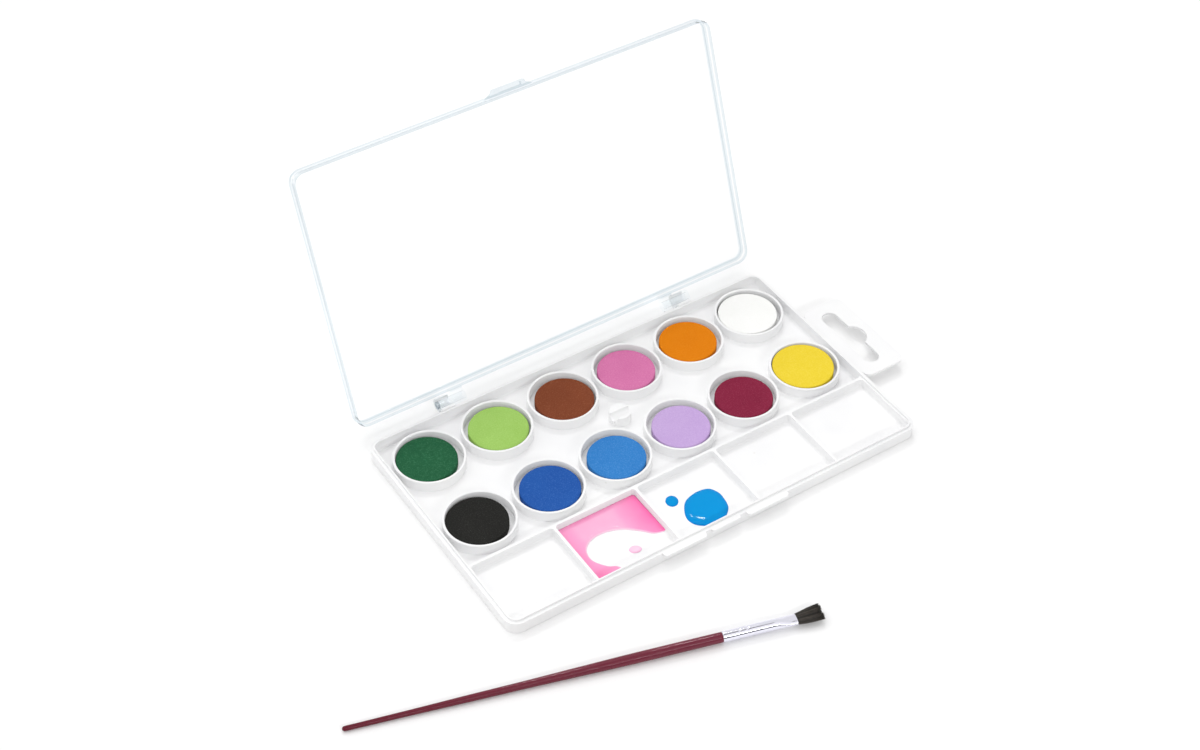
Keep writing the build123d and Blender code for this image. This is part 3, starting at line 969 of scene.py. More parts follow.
@dataclass(frozen=True)
class Hair(Finish):
    """Black hair: each strand has its own tone, with a soft sheen."""

    light: Colour = grey(0.1)
    break_scale: float = 700.0
    breaks: tuple[float, float] = (0.6, 1.2)
    roughness: tuple[float, float] = (0.5, 0.36)
    specular: float = 0.4

    def dress(self, graph: Graph, shader: bpy.types.Node, effects: Effects) -> None:
        """Colour each strand by its own tone value, broken by a little noise along it.

        Args:
            graph: The material's graph.
            shader: The material's shader.
            effects: The shared node groups.
        """
        strand = graph.add("ShaderNodeAttribute", attribute_name="strand").outputs["Fac"]
        broken = graph.math("MULTIPLY", strand, graph.uneven(self.break_scale, *self.breaks))
        sockets = {
            "Base Color": graph.mix(broken, self.colour, self.light),
            "Roughness": graph.stretch(strand, 0.0, 1.0, *self.roughness),
            "Specular IOR Level": self.specular,
        }
        graph.fill(shader, sockets)


def node_box(node: str) -> tuple[np.ndarray, np.ndarray]:
    """Give a node's lowest and highest corners, in mm."""
    low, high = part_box(node)
    return np.array(low) / MM, np.array(high) / MM


def settle(piece: bpy.types.Object, body: Body, node: str, finish: Finish, effects: Effects) -> None:
    """Dress a new piece, join it to its body and let it stand for its node.

    Args:
        piece: The new piece.
        body: The body that it rides on.
        node: The node that it replaces.
        finish: Its finish, whose slot it takes.
        effects: The shared node groups.
    """
    piece.data.materials.append(finish.material(effects))
    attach(piece, body.value)
    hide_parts(node)
    log.info("%s: %d faces, rides on %s", piece.name, len(piece.data.polygons), body.value)


@dataclass
class PaintCake:
    """One pressed cake: a disc with a crumbled rim, turned from a rounded profile.

    The profile climbs the side, rounds over the rim and runs to the centre. In the
    rim's band its radius loses up to the chip's depth by two ripples. The top sinks
    by a parabola for the dish and a third ripple for the dimples, which fade down
    the side with a power of the height.
    """

    node: str
    finish: PressedPaint
    seed: int
    rim_radius: float = 0.4
    rim_band: float = 0.18
    chip: float = 0.05
    chip_cover: float = 0.45
    crumb_pitches: tuple[float, float] = (2.4, 0.9)
    crumb_slants: tuple[float, float] = (0.7, 1.0)
    dish: float = 0.1
    dimple: float = 0.03
    dimple_pitch: float = 3.1
    deepest: float = 0.3
    fade: int = 6
    pole: float = 0.05
    rows: tuple[int, int, int] = (5, 9, 26)
    sides: int = 144

    def profile(self, radius: float, height: float) -> np.ndarray:
        """Give the profile of the cake.

        Args:
            radius: Radius of its side.
            height: Height of its top.

        Returns:
            (radius, height) pairs, from the foot to the centre.
        """
        climb_rows, rim_rows, top_rows = self.rows
        climb = np.linspace(0.0, height - self.rim_radius, climb_rows)
        side = np.stack([np.full_like(climb, radius), climb], axis=1)
        bend = np.linspace(0.0, math.pi / 2, rim_rows)[1:]
        drawn_in = self.rim_radius * (1.0 - np.stack([np.cos(bend), np.sin(bend)], axis=1))
        inwards = np.linspace(radius - self.rim_radius, self.pole, top_rows)[1:]
        top = np.stack([inwards, np.full_like(inwards, height)], axis=1)
        return np.concatenate([side, (radius, height) - drawn_in, top])

    def build(self, effects: Effects) -> bpy.types.Object:
        """Make the cake in the place of its node.

        Args:
            effects: The shared node groups.

        Returns:
            The new piece.
        """
        low, high = node_box(self.node)
        center = (low + high) / 2.0
        radius = (high[0] - low[0]) / 2.0
        height = high[2] - low[2]
        profile = self.profile(radius, height)
        angle = np.linspace(0.0, TURN, self.sides, endpoint=False)
        reach, rise = (column[:, None] + 0.0 * angle for column in profile.T)
        x, y = reach * np.cos(angle), reach * np.sin(angle)
        rim_share = np.clip(1.0 - (1.0 - reach / radius) / self.rim_band, 0.0, 1.0) ** 2
        coarse, fine = (Ripple(self.seed + step, pitch) for step, pitch in enumerate(self.crumb_pitches))
        slanted, level = (y + slant * rise for slant in self.crumb_slants)
        crumb = 0.5 * (coarse.at(x, slanted) + fine.at(x, level))
        chipped = np.clip(self.chip_cover + (1.0 - self.chip_cover) * crumb, 0.0, 1.0)
        pull = 1.0 - self.chip * chipped * rim_share / np.maximum(reach, self.pole)
        dimples = self.dimple * (1.0 - Ripple(self.seed + 2, self.dimple_pitch).at(x, y))
        pressed = self.dish * (1.0 - (reach / radius) ** 2) + dimples
        z = low[2] + rise - (rise / height) ** self.fade * np.clip(pressed, 0.0, self.deepest)
        rings = np.stack([center[0] + x * pull, center[1] + y * pull, z], axis=-1)
        piece = skin_over(rings).to_object(self.node.replace("cake", "pressed"))
        settle(piece, Body.TRAY, self.node, self.finish, effects)
        return piece


@dataclass
class MixingWell:
    """The floor of one mixing well, which wet paint lies on."""

    column: int
    pitch: float = 35.08
    center_y: float = -34.875
    floor: float = 1.3
    half_length: float = 16.844
    half_width: float = 14.805
    corner: float = 1.2
    corner_points: int = 8
    side_points: int = 12

    @property
    def center(self) -> np.ndarray:
        """The middle of the well's floor."""
        return np.array([(self.column - 2) * self.pitch, self.center_y, self.floor])

    def walls(self) -> np.ndarray:
        """Give the foot of the walls as a rounded rectangle about the well's middle.

        Returns:
            Points (x, y) that go round it once, in mm.
        """
        turn = np.linspace(0.0, math.pi / 2, self.corner_points)
        arc = self.corner * np.stack([np.cos(turn), np.sin(turn)], axis=1)
        inner = np.array([self.half_length - self.corner, self.half_width - self.corner])
        quarter = inner + arc
        half = np.concatenate([quarter, (quarter * [-1, 1])[::-1]])
        rough = np.concatenate([half, -half])
        ahead = np.roll(rough, -1, axis=0)
        share = np.linspace(0.0, 1.0, self.side_points, endpoint=False)[None, :, None]
        return (rough[:, None, :] * (1 - share) + ahead[:, None, :] * share).reshape(-1, 2)


@dataclass
class PinkPool:
    """Thin pink paint that fills its well around a bare island.

    Seen from a point in the island, each ring is one slice from the shore to the
    wall: out along the top, which rises from the shore as a quarter ellipse and
    climbs a little at the wall, down the rounded foot of the wall, and back along
    the floor. The rows crowd at the shore by a power of their share. The foot takes
    at most its shares of the pool's width and height there.
    """

    well: MixingWell
    finish: WetPaint
    node: str = "pink_puddle"
    thickness: float = 0.62
    shore_width: float = 1.5
    pale_shore: float = 0.7
    meniscus: float = 0.12
    meniscus_width: float = 1.4
    foot_radius: float = 0.7
    foot_share: tuple[float, float] = (0.4, 0.95)
    floor_span: tuple[float, float] = (0.98, 0.02)
    shore_crowding: float = 1.7
    wall_gap: float = 0.02
    narrowest: float = 0.12
    open_colour: float = 0.3
    right_band: float = 12.0
    right_fall: float = 1.3
    left_band: float = 7.0
    back_band: float = 2.2
    band_colour: float = 0.5
    corner_spread: float = 60.0
    shore_steps: int = 24
    bearings: int = 2401
    slices: int = 240
    rows: tuple[int, int, int] = (30, 6, 10)
    eye: tuple[float, float] = (0.5, -8.0)
    shore: tuple[tuple[float, float], ...] = (
        (19.0, -6.0),
        (15.6, -5.7),
        (12.2, -4.4),
        (9.2, -1.2),
        (3.9, 3.1),
        (-2.2, 5.1),
        (-8.0, 4.6),
        (-12.0, 1.4),
        (-12.7, -3.6),
        (-9.6, -8.6),
        (-6.6, -10.6),
        (-4.6, -15.2),
        (-3.9, -20.0),
    )

    def settled(self, x: np.ndarray, y: np.ndarray) -> np.ndarray:
        """Give how much colour has settled: least in the open, more near three walls and the low corner.

        Args:
            x: Place along the well from its middle, in mm.
            y: Place across the well from its middle, in mm.

        Returns:
            Shares of 0 to 1.
        """
        from_right, from_left = self.well.half_length - x, self.well.half_length + x
        from_back, from_front = self.well.half_width - y, self.well.half_width + y
        right = np.clip(1.0 - from_right / self.right_band, 0.0, 1.0) ** self.right_fall
        left = self.band_colour * np.clip(1.0 - from_left / self.left_band, 0.0, 1.0)
        back = self.band_colour * np.clip(1.0 - from_back / self.back_band, 0.0, 1.0)
        corner = np.exp(-(from_left**2 + from_front**2) / self.corner_spread)
        return self.open_colour + (1.0 - self.open_colour) * np.max([right, left, back, corner], axis=0)

    def build(self, effects: Effects) -> bpy.types.Object:
        """Make the pool in the place of its node.

        Args:
            effects: The shared node groups.

        Returns:
            The new piece.
        """
        eye = np.array(self.eye)
        shore = smooth_path(np.array(self.shore), self.shore_steps) - eye
        bearing, from_eye = np.unwrap(np.arctan2(shore[:, 1], shore[:, 0])), np.hypot(*shore.T)
        walls = self.well.walls() - eye
        angle = np.linspace(-math.pi / 2, 3 * math.pi / 2, self.bearings)
        gap = reach_at(walls, angle) - np.interp(angle, bearing, from_eye, left=np.inf, right=np.inf)
        wet = angle[gap > self.narrowest]
        turn = np.linspace(wet[0], wet[-1], self.slices)
        near = np.interp(turn, bearing, from_eye)[:, None]
        width = reach_at(walls, turn)[:, None] - self.wall_gap - near

        top_rows, foot_rows, back_rows = self.rows
        across = np.linspace(0.0, 1.0, top_rows) ** self.shore_crowding * width
        shore_share = np.clip(across / self.shore_width, 0.0, 1.0)
        wall_share = np.clip(1.0 - (width - across) / self.meniscus_width, 0.0, 1.0)
        rise = self.thickness * np.sqrt(1.0 - (1.0 - shore_share) ** 2) + self.meniscus * wall_share**2
        bend = np.linspace(math.pi / 2, 0.0, foot_rows)
        widest, highest = width * self.foot_share[0], rise[:, -1:] * self.foot_share[1]
        foot = np.minimum(self.foot_radius, widest)
        foot_across = width - foot * (1.0 - np.sin(bend))
        foot_rise = np.minimum(self.foot_radius * (1.0 - np.cos(bend)), highest)
        back = np.linspace(*self.floor_span, back_rows) * (width - foot)
        from_shore = np.concatenate([across, foot_across, back], axis=1)
        height = np.concatenate([rise, foot_rise, 0.0 * back], axis=1)
        x = eye[0] + (near + from_shore) * np.cos(turn)[:, None]
        y = eye[1] + (near + from_shore) * np.sin(turn)[:, None]
        deep = np.clip(from_shore / self.pale_shore, 0.0, 1.0) * self.settled(x, y)
        rings = np.stack([x, y, height], axis=-1) + self.well.center
        piece = skin_over(rings, depth=deep).to_object("pink_pool")
        settle(piece, Body.TRAY, self.node, self.finish, effects)
        return piece


@dataclass
class PaintDrop:
    """A drop or blob of wet paint on a well's floor.

    Each ring is the outline drawn in by the share s. The height follows
    thickness * (1 - s ** fullness) ** 0.5, a dome that is flatter the larger
    fullness is, so the edge meets the floor steeply as a wet drop does.
    """

    well: MixingWell
    finish: WetPaint
    node: str
    name: str
    outline: tuple[tuple[float, float], ...]
    thickness: float
    fullness: float = 2.4
    edge_steps: int = 40
    rows: int = 30
    sides: int = 120

    def build(self, effects: Effects) -> bpy.types.Object:
        """Make the drop in the place of its node.

        Args:
            effects: The shared node groups.

        Returns:
            The new piece.
        """
        knots = np.array(self.outline)
        middle = knots.mean(axis=0)
        edge = smooth_path(knots, self.edge_steps, closed=True) - middle
        angle = np.linspace(0.0, TURN, self.sides, endpoint=False)
        share = np.sin(np.linspace(math.pi / 2, 0.02, self.rows))[:, None]
        reach = share * reach_at(edge, angle)
        dome = np.sqrt(1.0 - share**self.fullness) + 0.0 * angle
        place = np.stack([reach * np.cos(angle), reach * np.sin(angle), self.thickness * dome], axis=-1)
        rings = self.well.center + (*middle, 0.0) + place
        piece = skin_over(rings, depth=dome).to_object(self.name)
        settle(piece, Body.TRAY, self.node, self.finish, effects)
        return piece


def oval(
    center: tuple[float, float], half: tuple[float, float], turn: float
) -> tuple[tuple[float, float], ...]:
    """Give eight points round an ellipse.

    Args:
        center: Its middle, in mm.
        half: Its half lengths, in mm.
        turn: How far it is turned, in degrees.

    Returns:
        The points.
    """
    angle = np.linspace(0.0, TURN, 8, endpoint=False)
    along, across = half[0] * np.cos(angle), half[1] * np.sin(angle)
    way = math.radians(turn)
    x = center[0] + along * math.cos(way) - across * math.sin(way)
    y = center[1] + along * math.sin(way) + across * math.cos(way)
    return tuple((float(a), float(b)) for a, b in zip(x, y))


@dataclass
class Brush:
    """The flat brush: a tapered handle, its ferrule and its hair, drawn along +X and then laid down.

    Places along the handle are measured from the tail's end, and those on the
    ferrule from its start. The hairs' spreads are standard deviations in mm at the
    tip, and the lock's and the stray hairs' lengths are added to the full reach.
    """

    handle: Lacquer
    ferrule: DrawnAluminium
    hair: Hair
    tail: tuple[float, float, float] = (-156.6, -54.3, 0.925)
    tilt: float = 0.58774
    yaw: float = -16.42
    handle_length: float = 132.2
    tail_radius: float = 0.88
    tail_bead: float = 0.05
    bead_place: float = 1.9
    bead_half: float = 1.1
    swell_depth: float = 0.012
    swell_pitch: float = 5.3
    shoulder: float = 0.1
    shoulder_places: tuple[float, float] = (0.02, 0.05)
    stub_gap: float = 0.03
    stub: float = 4.0
    tail_rows: int = 10
    taper_steps: int = 22
    handle_sides: int = 72
    taper: tuple[tuple[float, float], ...] = (
        (0.0, 0.88),
        (0.17, 1.04),
        (0.34, 1.27),
        (0.50, 1.44),
        (0.62, 1.67),
        (0.73, 1.87),
        (0.84, 1.9),
        (1.0, 1.9),
    )
    ferrule_length: float = 27.0
    ferrule_radius: float = 1.975
    ferrule_wall: float = 0.2
    ferrule_tuck: float = 0.08
    ferrule_rows: int = 190
    ferrule_sides: int = 96
    lip_rows: int = 9
    inner_rows: tuple[float, ...] = (0.6, 1.2, 1.9)
    crimps: tuple[float, float] = (6.2, 9.0)
    crimp_depth: float = 0.08
    crimp_half: float = 0.5
    flat_start: float = 18.5
    flat_run: float = 2.0
    mouth: tuple[float, float] = (2.3, 1.05)
    hair_reach: float = 10.0
    hair_count: int = 2600
    hair_spread: float = 1.75
    hair_squeeze: float = 0.95
    hair_lean: float = 0.87
    hair_seed: int = 12
    hair_rows: int = 8
    root_gap: float = 0.1
    root_depth: float = 1.6
    strand_radius: float = 0.062
    strand_taper: float = 0.72
    length_spread: float = 0.09
    stray_share: float = 0.05
    stray_lengths: tuple[float, float] = (-1.8, 0.5)
    upper_trim: float = 0.5
    fan_spread: float = 0.07
    lift_spread: float = 0.09
    bow_spread: float = 0.1
    lower_bow: float = 0.3
    lock_count: int = 46
    lock_lengths: tuple[float, float] = (-0.9, 0.0)
    lock_sway: float = 0.16
    lock_tone_share: float = 0.65

    def laid(self, points: np.ndarray) -> np.ndarray:
        """Turn points of the brush's own frame by its yaw, then its tilt, and move them to its place.

        Args:
            points: Points in the brush's own frame, whose origin is the tail's end.

        Returns:
            The points in the frame of the part.
        """
        tilt, yaw = math.radians(self.tilt), math.radians(self.yaw)
        turned = Matrix.Rotation(-tilt, 3, "Y") @ Matrix.Rotation(yaw, 3, "Z")
        return points @ np.array(turned).T + np.array(self.tail)

    def turned_rings(
        self, along: np.ndarray, half_y: np.ndarray, half_z: np.ndarray, sides: int
    ) -> np.ndarray:
        """Carry an ellipse along the brush.

        Args:
            along: Distance of each ring from the tail.
            half_y: Half width of each ring, across the brush.
            half_z: Half thickness of each ring, upwards.
            sides: Points round each ring.

        Returns:
            Rings of shape (rings, sides, 3) in the frame of the part.
        """
        angle = np.linspace(0.0, TURN, sides, endpoint=False)
        x = along[:, None] + 0.0 * angle
        y = half_y[:, None] * np.cos(angle)
        z = half_z[:, None] * np.sin(angle)
        return self.laid(np.stack([x, y, z], axis=-1))

    def build_handle(self, effects: Effects) -> bpy.types.Object:
        """Make the handle: a round tail, the long swelling taper, and its stub in the ferrule.

        The taper is a smooth path through its knots. A bell-shaped bead is added
        near the tail, and a shallow sine along it makes its slight swells.

        Args:
            effects: The shared node groups.

        Returns:
            The new piece.
        """
        bend = np.linspace(0.05, math.pi / 2, self.tail_rows)
        nose = self.tail_radius * np.stack([1.0 - np.cos(bend), np.sin(bend)], axis=1)
        knots = np.array([(share * self.handle_length, radius) for share, radius in self.taper])
        knots[0, 0] = self.tail_radius
        swell = smooth_path(knots, self.taper_steps)[1:]
        bead = self.tail_bead * np.exp(-(((swell[:, 0] - self.bead_place) / self.bead_half) ** 2))
        swell[:, 1] += bead + self.swell_depth * (np.sin(swell[:, 0] / self.swell_pitch) - 1.0)
        inner = self.ferrule_radius - self.ferrule_wall - self.stub_gap
        edge = self.taper[-1][1] - self.shoulder
        first, second = self.shoulder_places
        stub = np.array([(first, edge), (second, inner), (self.stub, inner)]) + (swell[-1, 0], 0.0)
        profile = np.concatenate([nose, swell, stub])
        rings = self.turned_rings(profile[:, 0], profile[:, 1], profile[:, 1], self.handle_sides)
        piece = skin_over(rings).to_object("lacquered_handle")
        settle(piece, Body.BRUSH, "brush_handle", self.handle, effects)
        return piece

    def ferrule_profile(self, along: np.ndarray) -> tuple[np.ndarray, np.ndarray]:
        """Give the ferrule's half width and half thickness at each distance from its start.

        The tube is round up to the flat's start, then eases to the mouth's ellipse by
        3 t^2 - 2 t^3, and each crimp takes a cosine dip out of both.

        Args:
            along: Distances from the ferrule's start, in mm.

        Returns:
            The half widths and the half thicknesses.
        """
        run = self.ferrule_length - self.flat_run - self.flat_start
        ease = np.clip((along - self.flat_start) / run, 0.0, 1.0)
        ease = ease**2 * (3.0 - 2.0 * ease)
        dip = np.zeros_like(along)
        for place in self.crimps:
            near = np.clip(np.abs(along - place) / self.crimp_half, 0.0, 1.0)
            dip += self.crimp_depth * 0.5 * (1.0 + np.cos(math.pi * near))
        half_y, half_z = (self.ferrule_radius * (1.0 - ease) + mouth * ease - dip for mouth in self.mouth)
        return half_y, half_z

    def build_ferrule(self, effects: Effects) -> bpy.types.Object:
        """Make the ferrule: its outer skin, the rolled mouth and the inner wall behind it.

        The mouth's lip is half a circle as wide as the wall.

        Args:
            effects: The shared node groups.

        Returns:
            The new piece.
        """
        along = np.linspace(0.0, self.ferrule_length, self.ferrule_rows)
        lip = np.linspace(0.0, math.pi, self.lip_rows)[1:]
        lip_x = self.ferrule_length + 0.5 * self.ferrule_wall * (np.sin(lip) - 1.0)
        lip_in = 0.5 * self.ferrule_wall * (1.0 - np.cos(lip))
        inside = self.ferrule_length - np.array(self.inner_rows)
        halves = []
        for half in self.ferrule_profile(along):
            half[0] -= self.ferrule_tuck
            rolled = half[-1] - lip_in
            halves.append(np.concatenate([half[:-1], rolled, np.full_like(inside, rolled[-1])]))
        x = self.handle_length + np.concatenate([along[:-1], lip_x, inside])
        rings = self.turned_rings(x, *halves, self.ferrule_sides)
        piece = skin_over(rings).to_object("crimped_ferrule")
        settle(piece, Body.BRUSH, "brush_ferrule", self.ferrule, effects)
        return piece

    def locks(self, root_y: np.ndarray, root_z: np.ndarray, random: np.random.Generator) -> np.ndarray:
        """Share the hairs out among locks: each goes to the nearest of the locks' middles.

        Args:
            root_y: Place of each root across the brush, in mm.
            root_z: Place of each root upwards, in mm.
            random: Source of the middles.

        Returns:
            The number of each hair's lock.
        """
        middle_y = random.uniform(-self.mouth[0], self.mouth[0], self.lock_count)
        middle_z = random.uniform(-self.mouth[1], self.mouth[1], self.lock_count)
        away = (root_y[:, None] - middle_y) ** 2 + (root_z[:, None] - middle_z) ** 2
        return np.argmin(away, axis=1)

    def build_hair(self, effects: Effects) -> bpy.types.Object:
        """Make the hair: tapered three-sided strands that fan out of the mouth in slight curves.

        A strand's root sits in the mouth's ellipse on a sunflower spiral. At the
        share s of its length its offset from the root grows with s for the fan and
        with 4 s (1 - s) for the bow, and its radius shrinks with s^3 to a fine tip.
        The hairs of one lock share a length, a lean and a tone.

        Args:
            effects: The shared node groups.

        Returns:
            The new piece.
        """
        random = np.random.default_rng(self.hair_seed)
        count = self.hair_count
        index = np.arange(count)
        radius = np.sqrt((index + 0.5) / count)
        angle = index * math.pi * (3.0 - math.sqrt(5.0))
        inset = self.ferrule_wall + self.root_gap
        root_y = (self.mouth[0] - inset) * radius * np.cos(angle)
        root_z = (self.mouth[1] - inset) * radius * np.sin(angle)
        lock = self.locks(root_y, root_z, random)
        lock_length = random.uniform(*self.lock_lengths, self.lock_count)[lock]
        lock_shift = random.normal(0.0, self.lock_sway, self.lock_count)[lock]
        lock_tone = random.random(self.lock_count)[lock]
        length = self.hair_reach * (1.0 - self.length_spread * random.random(count) ** 2) + lock_length
        stray = random.random(count) < self.stray_share
        length = np.where(stray, length + random.uniform(*self.stray_lengths, count), length)
        upper = np.clip(root_y / self.mouth[0], 0.0, 1.0)
        lower = np.clip(-root_y / self.mouth[0], 0.0, 1.0)
        length = np.minimum(length, self.hair_reach) - self.upper_trim * upper**4
        fan_y = root_y * (self.hair_spread - 1.0) + self.hair_lean + lock_shift
        fan_y = fan_y + random.normal(0.0, self.fan_spread, count)
        fan_z = root_z * (self.hair_squeeze - 1.0) + random.normal(0.0, self.lift_spread, count)
        bow_y = random.normal(0.0, self.bow_spread, count) - self.lower_bow * lower

        share = np.linspace(0.0, 1.0, self.hair_rows)[None, :]
        start = self.handle_length + self.ferrule_length - self.root_depth
        x = start + share * (length[:, None] + self.root_depth)
        y = root_y[:, None] + fan_y[:, None] * share + bow_y[:, None] * 4.0 * share * (1.0 - share)
        z = root_z[:, None] + fan_z[:, None] * share
        thick = self.strand_radius * (1.0 - self.strand_taper * share**3)
        turn = np.arange(3) * TURN / 3.0 + random.uniform(0.0, TURN, count)[:, None, None]
        spine = np.stack([x, y, z], axis=-1)[:, :, None, :]
        round_it = np.stack([0.0 * turn, np.cos(turn), np.sin(turn)], axis=-1)
        rings = spine + thick[..., None, None] * round_it
        own_tone = random.random(count) ** 2
        shade = self.lock_tone_share * lock_tone**2 + (1.0 - self.lock_tone_share) * own_tone
        strand = shade[:, None, None] + np.zeros(rings.shape[:3])
        piece = skin_over(self.laid(rings), strand=strand).to_object("hair_tuft")
        settle(piece, Body.BRUSH, "brush_bristles", self.hair, effects)
        return piece


@dataclass(frozen=True)
class Lamp:
    """One flat lamp that looks at the origin: its place, width and height in mm, its power in watts."""

    name: str
    place: tuple[float, float, float]
    width: float
    height: float
    power: float

    def hang(self) -> None:
        """Make the lamp and turn it to the origin."""
        light = bpy.data.lights.new(self.name, "AREA")
        light.shape = "RECTANGLE"
        light.size, light.size_y = self.width * MM, self.height * MM
        light.energy = self.power
        holder = bpy.data.objects.new(self.name, light)
        holder.location = Vector(self.place) * MM
        holder.rotation_euler = (-Vector(self.place)).to_track_quat("-Z", "Y").to_euler()
        bpy.context.scene.collection.objects.link(holder)


@dataclass
class Studio:
    """The white table, the lamps and the camera at the photograph's place.

    The sky's limits are parts of a direction of length 1: the front is looked at
    along Y, and the flag, the gap and the far room along Z.
    """

    camera_place: tuple[float, float, float] = (-316.2, -441.9, 565.1)
    camera_right: tuple[float, float, float] = (0.8358, -0.5489, 0.0096)
    camera_ahead: tuple[float, float, float] = (0.3988, 0.5951, -0.6978)
    focal_pixels: float = 2094.73
    image_width: float = 1200.0
    sensor: float = 36.0
    clips: tuple[float, float] = (0.02, 40.0)
    paper: float = 0.94
    paper_lift: float = 0.045
    table_half: float = 4000.0
    table_drop: float = 0.1
    sky_low: float = 0.49
    sky_gain: float = 0.84
    sky_start: float = 0.3
    sky_middle: tuple[float, float, float] = (-0.35, 0.5, 0.79)
    front: tuple[float, float] = (-0.1, -0.3)
    flag_middle: float = 0.27
    flag_edge: tuple[float, float] = (0.2, 0.16)
    flag_gloss: float = 0.03
    gap_edge: tuple[float, float] = (0.958, 0.97)
    far_rise: tuple[float, float] = (0.15, 0.5)
    far_gloss: float = 0.8
    lamps: tuple[Lamp, ...] = (
        Lamp("left_glint", (253.0, 560.0, 916.0), 60.0, 60.0, 0.6),
        Lamp("right_glint", (379.0, 478.0, 916.0), 60.0, 60.0, 0.6),
        Lamp("front_strip", (-26.0, -921.0, 601.0), 800.0, 70.0, 2.3),
        Lamp("overhead", (0.0, 150.0, 1250.0), 500.0, 500.0, 0.8),
    )

    def build_camera(self) -> None:
        """Make the camera and hand it to the scene."""
        lens = bpy.data.cameras.new("photograph_view")
        lens.sensor_fit = "HORIZONTAL"
        lens.sensor_width = self.sensor
        lens.lens = self.sensor * self.focal_pixels / self.image_width
        lens.clip_start, lens.clip_end = self.clips
        ahead = Vector(self.camera_ahead).normalized()
        right = Vector(self.camera_right)
        right = (right - ahead * right.dot(ahead)).normalized()
        up = right.cross(ahead)
        place = Matrix((right, up, -ahead)).transposed().to_4x4()
        place.translation = Vector(self.camera_place) * MM
        camera = bpy.data.objects.new("photograph_view", lens)
        camera.matrix_world = place
        bpy.context.scene.collection.objects.link(camera)
        bpy.context.scene.camera = camera

    @staticmethod
    def seen(graph: Graph) -> Any:
        """Give 1 for a ray that shows the background: straight, in a reflection or through the lid.

        Args:
            graph: The material's graph.

        Returns:
            The mask.
        """
        path = graph.add("ShaderNodeLightPath")
        shown = graph.math("ADD", path.outputs["Is Camera Ray"], path.outputs["Is Glossy Ray"])
        return graph.math("ADD", shown, path.outputs["Is Transmission Ray"], clamp=True)

    def build_table(self) -> None:
        """Make the white table: paper white, lifted to clean white where it is only looked at."""
        reach = self.table_half
        corners = np.array([(-reach, -reach), (reach, -reach), (reach, reach), (-reach, reach)], dtype=float)
        points = np.column_stack([corners, np.full(4, -self.table_drop)])
        mesh = bpy.data.meshes.new("white_table")
        mesh.from_pydata((points * MM).tolist(), [], [(0, 1, 2, 3)])
        table = bpy.data.objects.new("white_table", mesh)
        bpy.context.scene.collection.objects.link(table)
        paper = bpy.data.materials.new("white_table")
        paper.use_nodes = True
        paper.node_tree.nodes.clear()
        graph = Graph(paper.node_tree)
        sockets = {
            "Base Color": grey(self.paper),
            "Roughness": 0.9,
            "Specular IOR Level": 0.1,
            "Emission Color": grey(1.0),
            "Emission Strength": graph.math("MULTIPLY", self.seen(graph), self.paper_lift),
        }
        shader = graph.add("ShaderNodeBsdfPrincipled", sockets)
        graph.add("ShaderNodeOutputMaterial", {"Surface": shader.outputs[0]})
        mesh.materials.append(paper)

    def build_sky(self) -> None:
        """Light softly from all round and most from behind, and show plain white where the sky is seen.

        A reflection sees white low down and a dimmer room higher up, with a dark flag
        low in front and a dark gap straight overhead.
        """
        world = bpy.data.worlds.new("studio")
        world.use_nodes = True
        world.node_tree.nodes.clear()
        graph = Graph(world.node_tree)
        path = graph.add("ShaderNodeLightPath")
        direct = (path.outputs["Is Camera Ray"], path.outputs["Is Transmission Ray"])
        straight = graph.math("ADD", *direct, clamp=True)
        heading = graph.add("ShaderNodeTexCoord").outputs["Generated"]
        facing = graph.add("ShaderNodeVectorMath", {0: heading, 1: self.sky_middle}, operation="DOT_PRODUCT")
        bright = self.sky_low + self.sky_gain
        glow = graph.stretch(facing.outputs[1], self.sky_start, 1.0, self.sky_low, bright)
        way = graph.add("ShaderNodeSeparateXYZ", {0: heading})
        front = graph.stretch(way.outputs[1], *self.front)
        from_flag = graph.math("ABSOLUTE", graph.math("SUBTRACT", way.outputs[2], self.flag_middle))
        flag = graph.math("MULTIPLY", front, graph.stretch(from_flag, *self.flag_edge))
        gap = graph.stretch(way.outputs[2], *self.gap_edge)
        far = graph.stretch(way.outputs[2], *self.far_rise, 1.0, self.far_gloss)
        room = graph.blend(front, far, 1.0)
        flagged = graph.blend(graph.math("MAXIMUM", flag, gap), room, self.flag_gloss)
        level = graph.blend(path.outputs["Is Glossy Ray"], graph.blend(straight, glow, 1.0), flagged)
        sky = graph.add("ShaderNodeBackground", {"Color": grey(1.0), "Strength": level})
        graph.add("ShaderNodeOutputWorld", {"Surface": sky.outputs[0]})
        bpy.context.scene.world = world

    def build(self) -> None:
        """Build the camera, the table, the sky and the lamps."""
        self.build_camera()
        self.build_table()
        self.build_sky()
        for lamp in self.lamps:
            lamp.hang()
        bpy.context.scene.view_settings.view_transform = "Standard"


@dataclass
class Mouldings:
    """The tray and the lid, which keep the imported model's own shapes."""

    tray: SatinPolystyrene
    lid: ClearPolystyrene

    def dress(self, nodes: dict[str, bpy.types.Object], effects: Effects) -> None:
        """Give both mouldings their finishes.

        Args:
            nodes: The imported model's nodes by name.
            effects: The shared node groups.
        """
        for name, finish in (("tray", self.tray), ("lid", self.lid)):
            node = nodes[name]
            material = finish.material(effects)
            if node.material_slots:
                node.material_slots[0].material = material
            else:
                node.data.materials.append(material)
            log.info("%s: keeps its shape, finish %s", name, material.name)


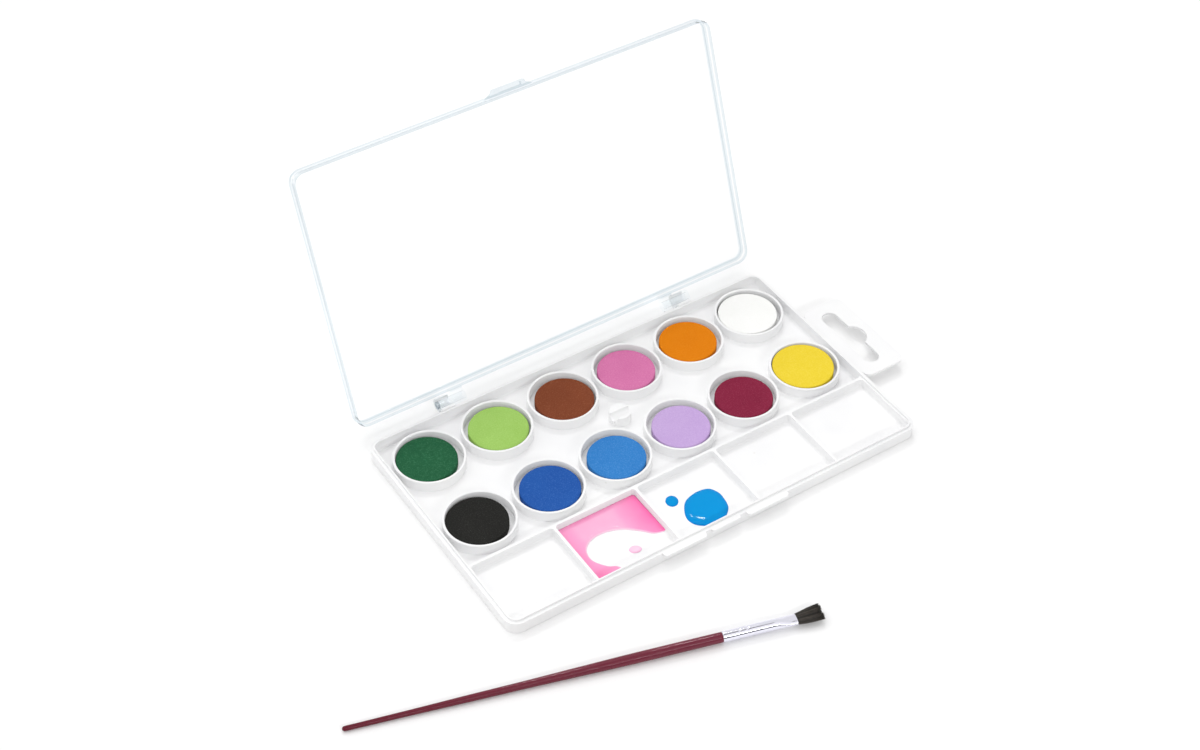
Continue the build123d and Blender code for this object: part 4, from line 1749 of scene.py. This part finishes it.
CAKE_TONES: dict[str, tuple[Colour, Colour, Colour]] = {
    "cake_dark_green": (tone(38, 97, 64), tone(26, 76, 50), tone(86, 146, 110)),
    "cake_light_green": (tone(164, 206, 106), tone(144, 189, 82), tone(196, 224, 142)),
    "cake_brown": (tone(131, 69, 44), tone(112, 56, 34), tone(168, 108, 80)),
    "cake_pink": (tone(217, 122, 172), tone(203, 101, 157), tone(236, 164, 200)),
    "cake_orange": (tone(228, 129, 8), tone(214, 112, 0), tone(242, 164, 62)),
    "cake_white": (tone(253, 253, 251), tone(244, 245, 241), tone(255, 255, 255)),
    "cake_black": (tone(39, 39, 37), tone(26, 26, 25), tone(76, 76, 74)),
    "cake_blue": (tone(40, 92, 172), tone(28, 74, 156), tone(84, 130, 198)),
    "cake_light_blue": (tone(57, 131, 203), tone(42, 113, 188), tone(108, 166, 222)),
    "cake_lilac": (tone(201, 172, 222), tone(186, 152, 211), tone(222, 200, 236)),
    "cake_maroon": (tone(138, 38, 66), tone(118, 26, 53), tone(172, 84, 108)),
    "cake_yellow": (tone(240, 213, 59), tone(228, 198, 36), tone(250, 230, 110)),
}


def build_paint(effects: Effects) -> None:
    """Make the twelve cakes and the wet paint in two wells.

    Args:
        effects: The shared node groups.
    """
    for number, (node, (colour, shade, bloom)) in enumerate(CAKE_TONES.items()):
        PaintCake(node, PressedPaint(node, colour, shade, bloom), seed=31 * number + 5).build(effects)
    pink = WetPaint("pink_wet_paint", tone(254, 168, 210), tone(254, 222, 238), tone(254, 112, 176))
    weak_pink = WetPaint("pink_wet_paint", tone(252, 196, 226), tone(250, 176, 216), tone(254, 214, 234))
    blue = WetPaint("blue_wet_paint", tone(0, 139, 214), tone(10, 116, 206), tone(0, 149, 218))
    pink_well, blue_well = MixingWell(1), MixingWell(2)
    PinkPool(pink_well, pink).build(effects)
    small, round_one = oval((2.9, -7.3), (2.3, 1.7), -20.0), oval((-8.1, 4.7), (2.4, 2.7), -25.0)
    PaintDrop(pink_well, weak_pink, "pink_droplet", "pink_drop", small, 0.6).build(effects)
    PaintDrop(blue_well, blue, "blue_droplet", "blue_drop", round_one, 0.6).build(effects)
    blob = (
        (6.1, 2.8),
        (8.2, 0.3),
        (8.8, -3.4),
        (7.0, -9.5),
        (0.4, -13.4),
        (-6.6, -10.3),
        (-8.4, -5.0),
        (-4.7, 1.4),
        (1.0, 3.5),
    )
    PaintDrop(blue_well, blue, "blue_puddle", "blue_blob", blob, 0.9, fullness=5.0).build(effects)


def build_brush(effects: Effects) -> None:
    """Make the three pieces of the brush.

    Args:
        effects: The shared node groups.
    """
    yaw = math.radians(-Brush.yaw)
    brush = Brush(
        Lacquer("brush_handle", tone(126, 50, 68), tone(106, 38, 55), tone(98, 16, 36), yaw),
        DrawnAluminium("brush_ferrule", tone(240, 239, 250), yaw),
        Hair("brush_bristles", tone(26, 24, 22), tone(90, 83, 75)),
    )
    brush.build_handle(effects)
    brush.build_ferrule(effects)
    brush.build_hair(effects)


def main() -> None:
    """Load the frame, set the stage, dress the mouldings and build every other piece."""
    logging.basicConfig(level=logging.INFO, format="%(name)s: %(message)s")
    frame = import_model()
    Studio().build()
    effects = Effects()
    tray = SatinPolystyrene("tray", tone(249, 249, 249))
    # The lid's skirt tint, its stripes, its dark edge lines and its dark barrel mouth are painted shade.
    lid = ClearPolystyrene(
        "lid",
        tone(254.3, 254.7, 255),
        skirt=tone(238, 243, 245),
        painted_stripe_shade=tone(228, 234, 238),
        pale=tone(252, 253, 253),
        painted_edge_line=tone(214, 224, 230),
        barrel=tone(249, 251, 252),
        painted_bore_shade=tone(140, 152, 160),
    )
    Mouldings(tray, lid).dress(frame["nodes"], effects)
    build_paint(effects)
    build_brush(effects)


if __name__ == "__main__":
    main()
